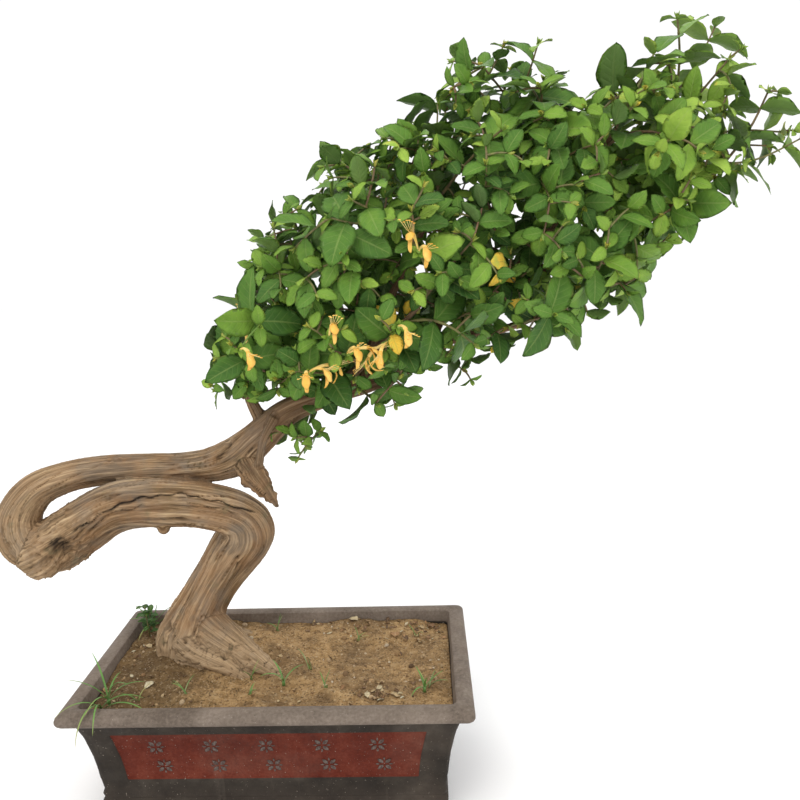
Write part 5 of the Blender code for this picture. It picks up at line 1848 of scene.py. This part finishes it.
def earth_look():
    """Sandy, crusted soil, darker where it is damp, with a painted shadow at the left, painted shade in the
    low spots and painted light on the clods.
    """
    n = new_look("sandy_soil")
    place, tone = n.place(), n.value("tone")
    fine = n.grain(place, 420, 6, 0.7)
    mid = n.grain(place, 95, 6, 0.65)
    broad = n.grain(place, 15, 5, 0.6)
    sand = n.ramp(n.blend(fine, 0.5, mid, 0.5), (
        (0.32, (0.132, 0.074, 0.031)), (0.44, (0.285, 0.172, 0.074)), (0.54, (0.410, 0.260, 0.120)),
        (0.68, (0.540, 0.375, 0.195)),
    ))
    damp = n.mix(0.62, sand, (0.085, 0.052, 0.030))
    colour = n.tint(sand, damp, broad, 0.46, 0.60, 0.0, 0.75)
    # Painted shadow: the left part of the soil, by the trunk's foot, is turned darker.
    across = n.stray(n.split(place)[0], mid, 0.03)
    colour = n.tint(colour, (0.070, 0.044, 0.020), across, -0.045 + SHIFT.x, -0.105 + SHIFT.x, 0.0, 0.58)
    # Painted shade in the low spots of the fine relief, painted light on the clods.
    colour = n.tint(colour, (0.065, 0.040, 0.024), tone, 0.42, 0.15, 0.0, 0.60)
    colour = n.tint(colour, (0.54, 0.390, 0.215), tone, 0.58, 0.95, 0.0, 0.38)
    speck = n.split(n.cells(place, 640, "F1", "Color"))[0]
    colour = n.tint(colour, (0.58, 0.45, 0.29), speck, 0.90, 0.94, 0.0, 0.30)
    colour = n.tint(colour, (0.045, 0.030, 0.020), speck, 0.12, 0.08, 0.0, 0.60)
    grains = n.span(n.cells(place, 900), 0.0, 0.6, 1.0, 0.0)
    height = n.blend(fine, 0.9, grains, 0.5)
    return n.done(colour, 0.95, n.bump(height, 0.9, 0.0018), specular=0.15)


def grit_look():
    n = new_look("soil_grit")
    tone, place = n.value("tone"), n.place()
    base = n.ramp(tone, (
        (0.0, (0.078, 0.046, 0.024)), (0.30, (0.245, 0.145, 0.066)), (0.60, (0.41, 0.275, 0.135)),
        (0.88, (0.46, 0.33, 0.19)), (1.0, (0.60, 0.52, 0.40)),
    ))
    grain = n.grain(place, 600, 5)
    colour = n.tint(base, (0.16, 0.105, 0.065), grain, 0.4, 0.65, 0.0, 0.55)
    return n.done(colour, 0.92, n.bump(grain, 0.7, 0.001), specular=0.2)


def litter_look():
    n = new_look("dead_leaf_litter")
    tone, place = n.value("tone"), n.place()
    u = n.split(n.uv())[0]
    base = n.ramp(tone, (
        (0.0, (0.60, 0.56, 0.40)), (0.15, (0.52, 0.40, 0.22)), (0.45, (0.33, 0.175, 0.065)),
        (0.75, (0.17, 0.085, 0.035)), (1.0, (0.075, 0.042, 0.022)),
    ))
    colour = n.tint(base, (0.46, 0.34, 0.19), n.math("ABSOLUTE", u), 0.03, 0.12, 0.5, 0.0)
    grain = n.grain(place, 380, 5)
    colour = n.tint(colour, (0.11, 0.062, 0.030), grain, 0.42, 0.7, 0.0, 0.6)
    return n.done(colour, 0.80, n.bump(grain, 0.7, 0.0010))


def make_looks():
    return {
        "leaf": leaf_look(), "stem": stem_look(), "petal": petal_look(), "grass": grass_look(),
        "bark": bark_look(), "clay": clay_look(), "ink": ink_look(), "earth": earth_look(),
        "grit": grit_look(), "litter": litter_look(),
    }


# The camera, the light and the floor

LAMPS = (  # name, place, target, size, watts, colour
    ("key_light", (-0.5, -1.5, 2.7), (0.16, 0.0, 0.42), 1.5, 31, (1.0, 0.97, 0.92)),
    ("fill_light", (1.9, -1.4, 1.3), (0.10, 0.0, 0.35), 2.2, 6, (0.95, 0.97, 1.0)),
    ("back_light", (0.6, 1.9, 1.9), (0.10, 0.0, 0.45), 1.8, 12, (0.97, 0.98, 1.0)),
)
SKY_STRENGTH = 1.04
FLOOR_RADIUS = 9.0


def place_camera():
    yaw, pitch, roll = (math.radians(a) for a in (YAW, PITCH, ROLL))
    ahead = Vector((-math.sin(yaw) * math.cos(pitch), math.cos(yaw) * math.cos(pitch), math.sin(pitch)))
    level = Vector((math.cos(yaw), math.sin(yaw), 0))
    rise = level.cross(ahead)
    right = level * math.cos(roll) + rise * math.sin(roll)
    up = rise * math.cos(roll) - level * math.sin(roll)
    data = bpy.data.cameras.new("photo_camera")
    data.lens = LENS
    data.sensor_width = 36
    data.clip_start = 0.01
    camera = add_object("photo_camera", data)
    turn = Matrix((right, up, -ahead)).transposed().to_4x4()
    camera.matrix_world = Matrix.Translation(Vector(CAMERA) + SHIFT) @ turn
    bpy.context.scene.camera = camera


def add_light(name, place, target, size, watts, colour):
    data = bpy.data.lights.new(name, "AREA")
    data.shape = "DISK"
    data.size = size
    data.energy = watts
    data.color = colour
    lamp = add_object(name, data)
    place = Vector(place) + SHIFT
    lamp.location = place
    lamp.rotation_euler = (Vector(target) + SHIFT - place).to_track_quat("-Z", "Y").to_euler()


def build_studio():
    n = new_look("studio_floor")
    grain = n.grain(n.place(), 3.0, 4)
    n.done(n.ramp(grain, ((0.3, (0.96, 0.96, 0.96)), (0.7, (0.97, 0.97, 0.97)))), 0.9)
    bpy.ops.mesh.primitive_circle_add(vertices=96, radius=FLOOR_RADIUS, fill_type="NGON")
    floor = bpy.context.object
    floor.name = "studio_floor"
    floor.data.materials.append(n.look)
    world = bpy.data.worlds.new("studio")
    bpy.context.scene.world = world
    bpy.context.scene.view_settings.view_transform = "Standard"
    world.use_nodes = True
    back = world.node_tree.nodes["Background"]
    back.inputs["Color"].default_value = (1.0, 1.0, 1.0, 1.0)
    back.inputs["Strength"].default_value = SKY_STRENGTH
    for lamp in LAMPS:
        add_light(*lamp)


def main():
    looks = make_looks()
    crown = Crown(wood_shapes(*PLAIN_WOOD))
    shoots = grow_crown(crown)
    build_pot_piece(looks)
    build_rosettes(looks)
    build_soil_piece(looks)
    build_litter(looks)
    build_trunk_piece(looks)
    dress_shoots(shoots, looks)
    dress_flowers(shoots, looks)
    dress_grass(grow_grass(), looks)
    build_weeds(looks)
    extra, carriers = grow_extra(crown, shoots)
    dress_extra(extra, looks)
    dress_lone_blooms(carriers, looks)
    place_camera()
    build_studio()


main()
